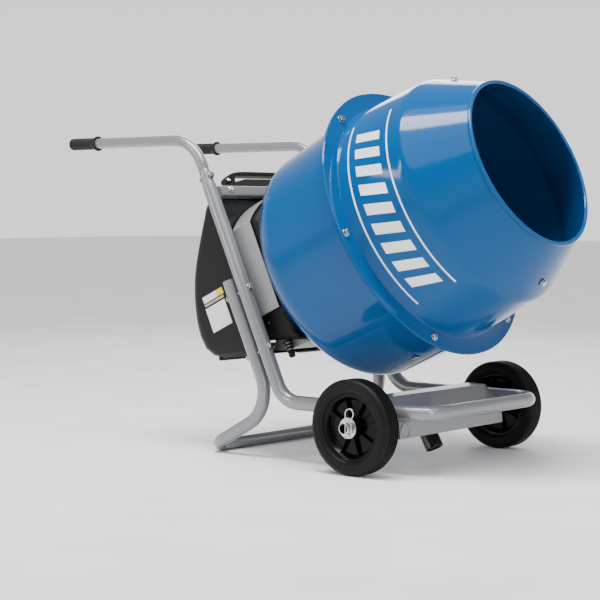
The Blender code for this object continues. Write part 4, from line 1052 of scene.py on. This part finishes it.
def drive_hoop():
    """Light sheet arch over the drive."""
    half = 0.158
    foot = -0.051

    def arch(inset, way):
        radius = HOOP_RADIUS - inset
        reach = math.degrees(math.asin((half - inset) / radius))
        return arc((0.0, HOOP_CENTRE_V), radius, -way * reach, way * reach, 56)

    outer = [(-half, foot)] + arch(0.0, 1) + [(half, foot)]
    inside = half - HOOP_SHEET
    inner = [(inside, foot)] + arch(HOOP_SHEET, -1) + [(-inside, foot)]
    made = add("sheet_hoop", prism(outer + inner, -0.1445, -0.0969, "X"), LEANING, "hoop_paint", "frame",
               ("drive_hoop",), 25.0)
    bevel(made, 0.0005, 2)


def bottom_tray():
    """The shallow tray that closes the drive from below."""
    half = 0.125
    outline = [(-0.187, -0.1092), (-0.128, -0.1262), (-0.085, -0.1275), (-0.085, -0.1230),
               (-0.150, -0.0982), (-0.187, -0.0982)]
    hollow = [(-0.185, -0.1076), (-0.128, -0.1243), (-0.087, -0.1256), (-0.087, -0.08), (-0.185, -0.08)]
    made = add("sheet_tray", prism(outline, -half, half, "Y"), LEANING, "hoop_paint", "frame",
               ("bottom_tray",))
    cut(made, prism(hollow, HOOP_SHEET - half, half - HOOP_SHEET, "Y"), LEANING)
    bevel(made, 0.0006, 2)


def switch_box():
    """The switch housing on the cover's left side, with two pockets, their rims and the button caps."""
    outer_y = Vector(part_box("switch_housing")[1]).y
    inner_y = COVER_SIDE_Y + CLEARANCE
    mesh = box_mesh((SWITCH_U - 0.021, inner_y, -0.008), (SWITCH_U + 0.021, outer_y, 0.068))
    made = add("switch_box", mesh, LEANING, "cover_plastic", "frame", ("switch_housing",))
    hole = 0.0105
    tool = bmesh.new()
    for _, height, _ in BUTTONS:
        pocket = turned([(outer_y - 0.013, 0.0), (outer_y - 0.013, hole), (outer_y + 0.01, hole),
                         (outer_y + 0.01, 0.0)], 48, "Y", closed=False)
        bmesh.ops.translate(pocket, verts=pocket.verts, vec=(SWITCH_U, 0.0, height))
        join(tool, pocket)
    cut(made, tool, LEANING)
    bevel(made, 0.0020)
    cap = [(0.0, 0.0), (0.0, 0.0100), (0.0110, 0.0100), (0.0124, 0.0092), (0.0130, 0.0078),
           (0.0126, 0.0040), (0.0124, 0.0)]
    for name, height, colour in BUTTONS:
        bezel = turned([(outer_y, 0.0108), (outer_y, 0.0135), (outer_y + 0.0008, 0.0135),
                        (outer_y + 0.0014, 0.0126), (outer_y + 0.0010, 0.0108)], 48, "Y")
        add(name + "_bezel", bezel, leaning_at(SWITCH_U, 0.0, height), "cover_plastic")
        button = name + "_button"
        add(name + "_cap", turned(cap, 48, "Y", closed=False),
            leaning_at(SWITCH_U, outer_y - 0.0085, height), colour, button, (button,))


def cable_gland():
    """A ribbed, tapering rubber gland under the front housing, with three thin metal rings."""
    u = -0.122
    profile = [(0.0, 0.0), (0.0, 0.0092), (-0.0006, 0.0095), (-0.0036, 0.0095), (-0.004, 0.0090)]
    taper = 0.0007
    for rib in range(4):
        top = -0.0055 - 0.0060 * rib
        width = 0.0088 - taper * rib
        profile += [(top, width - 0.0022), (top - 0.0012, width - 0.0004), (top - 0.0022, width),
                    (top - 0.0036, width), (top - 0.0044, width - 0.0006)]
    profile += [(-0.0320, 0.0052), (-0.032, 0.0035), (-0.020, 0.0035), (-0.020, 0.0)]
    matrix = leaning_at(u, -0.1375, housing_floor(u) - 0.0043)
    add("ribbed_gland", turned(profile, 40, "Z", closed=False), matrix, "grip_rubber", "frame",
        ("cable_gland",))
    wire = 0.0006
    angles = [math.radians(45.0 * step) for step in range(8)]
    for number, height in enumerate((-0.0046, -0.0108, -0.0170)):
        width = 0.0078 - taper * number
        ring = [(height + wire * math.cos(a), width + wire * math.sin(a)) for a in angles]
        add("gland_ring_" + str(number + 1), turned(ring, 40, "Z"), matrix, "zinc")


# ------------------------ carried-over CAD nodes
def dress_cad_nodes():
    """Gives every CAD node its slot's finish, also where a finer piece stands for it."""
    slots = {part["node"]: part["material_slot"] for part in frame["record"]["subparts"]}
    for name, node in NODES.items():
        node.data.materials.clear()
        node.data.materials.append(FINISH[slots[name]])


# ------------------------ build
FINISH = finishes()
camera()
studio()
dress_cad_nodes()
drum()
band_stripes()
mixing_blades()
drum_bolts()
main_tube()
foot_tube()
handles()
frame_bolts()
cross_bar()
axle_box()
stand_socket()
axle_and_clips()
wheels()
rear_cover()
cover_foot_ribs()
carrying_grip()
labels()
front_housing()
drive_hoop()
bottom_tray()
switch_box()
cable_gland()
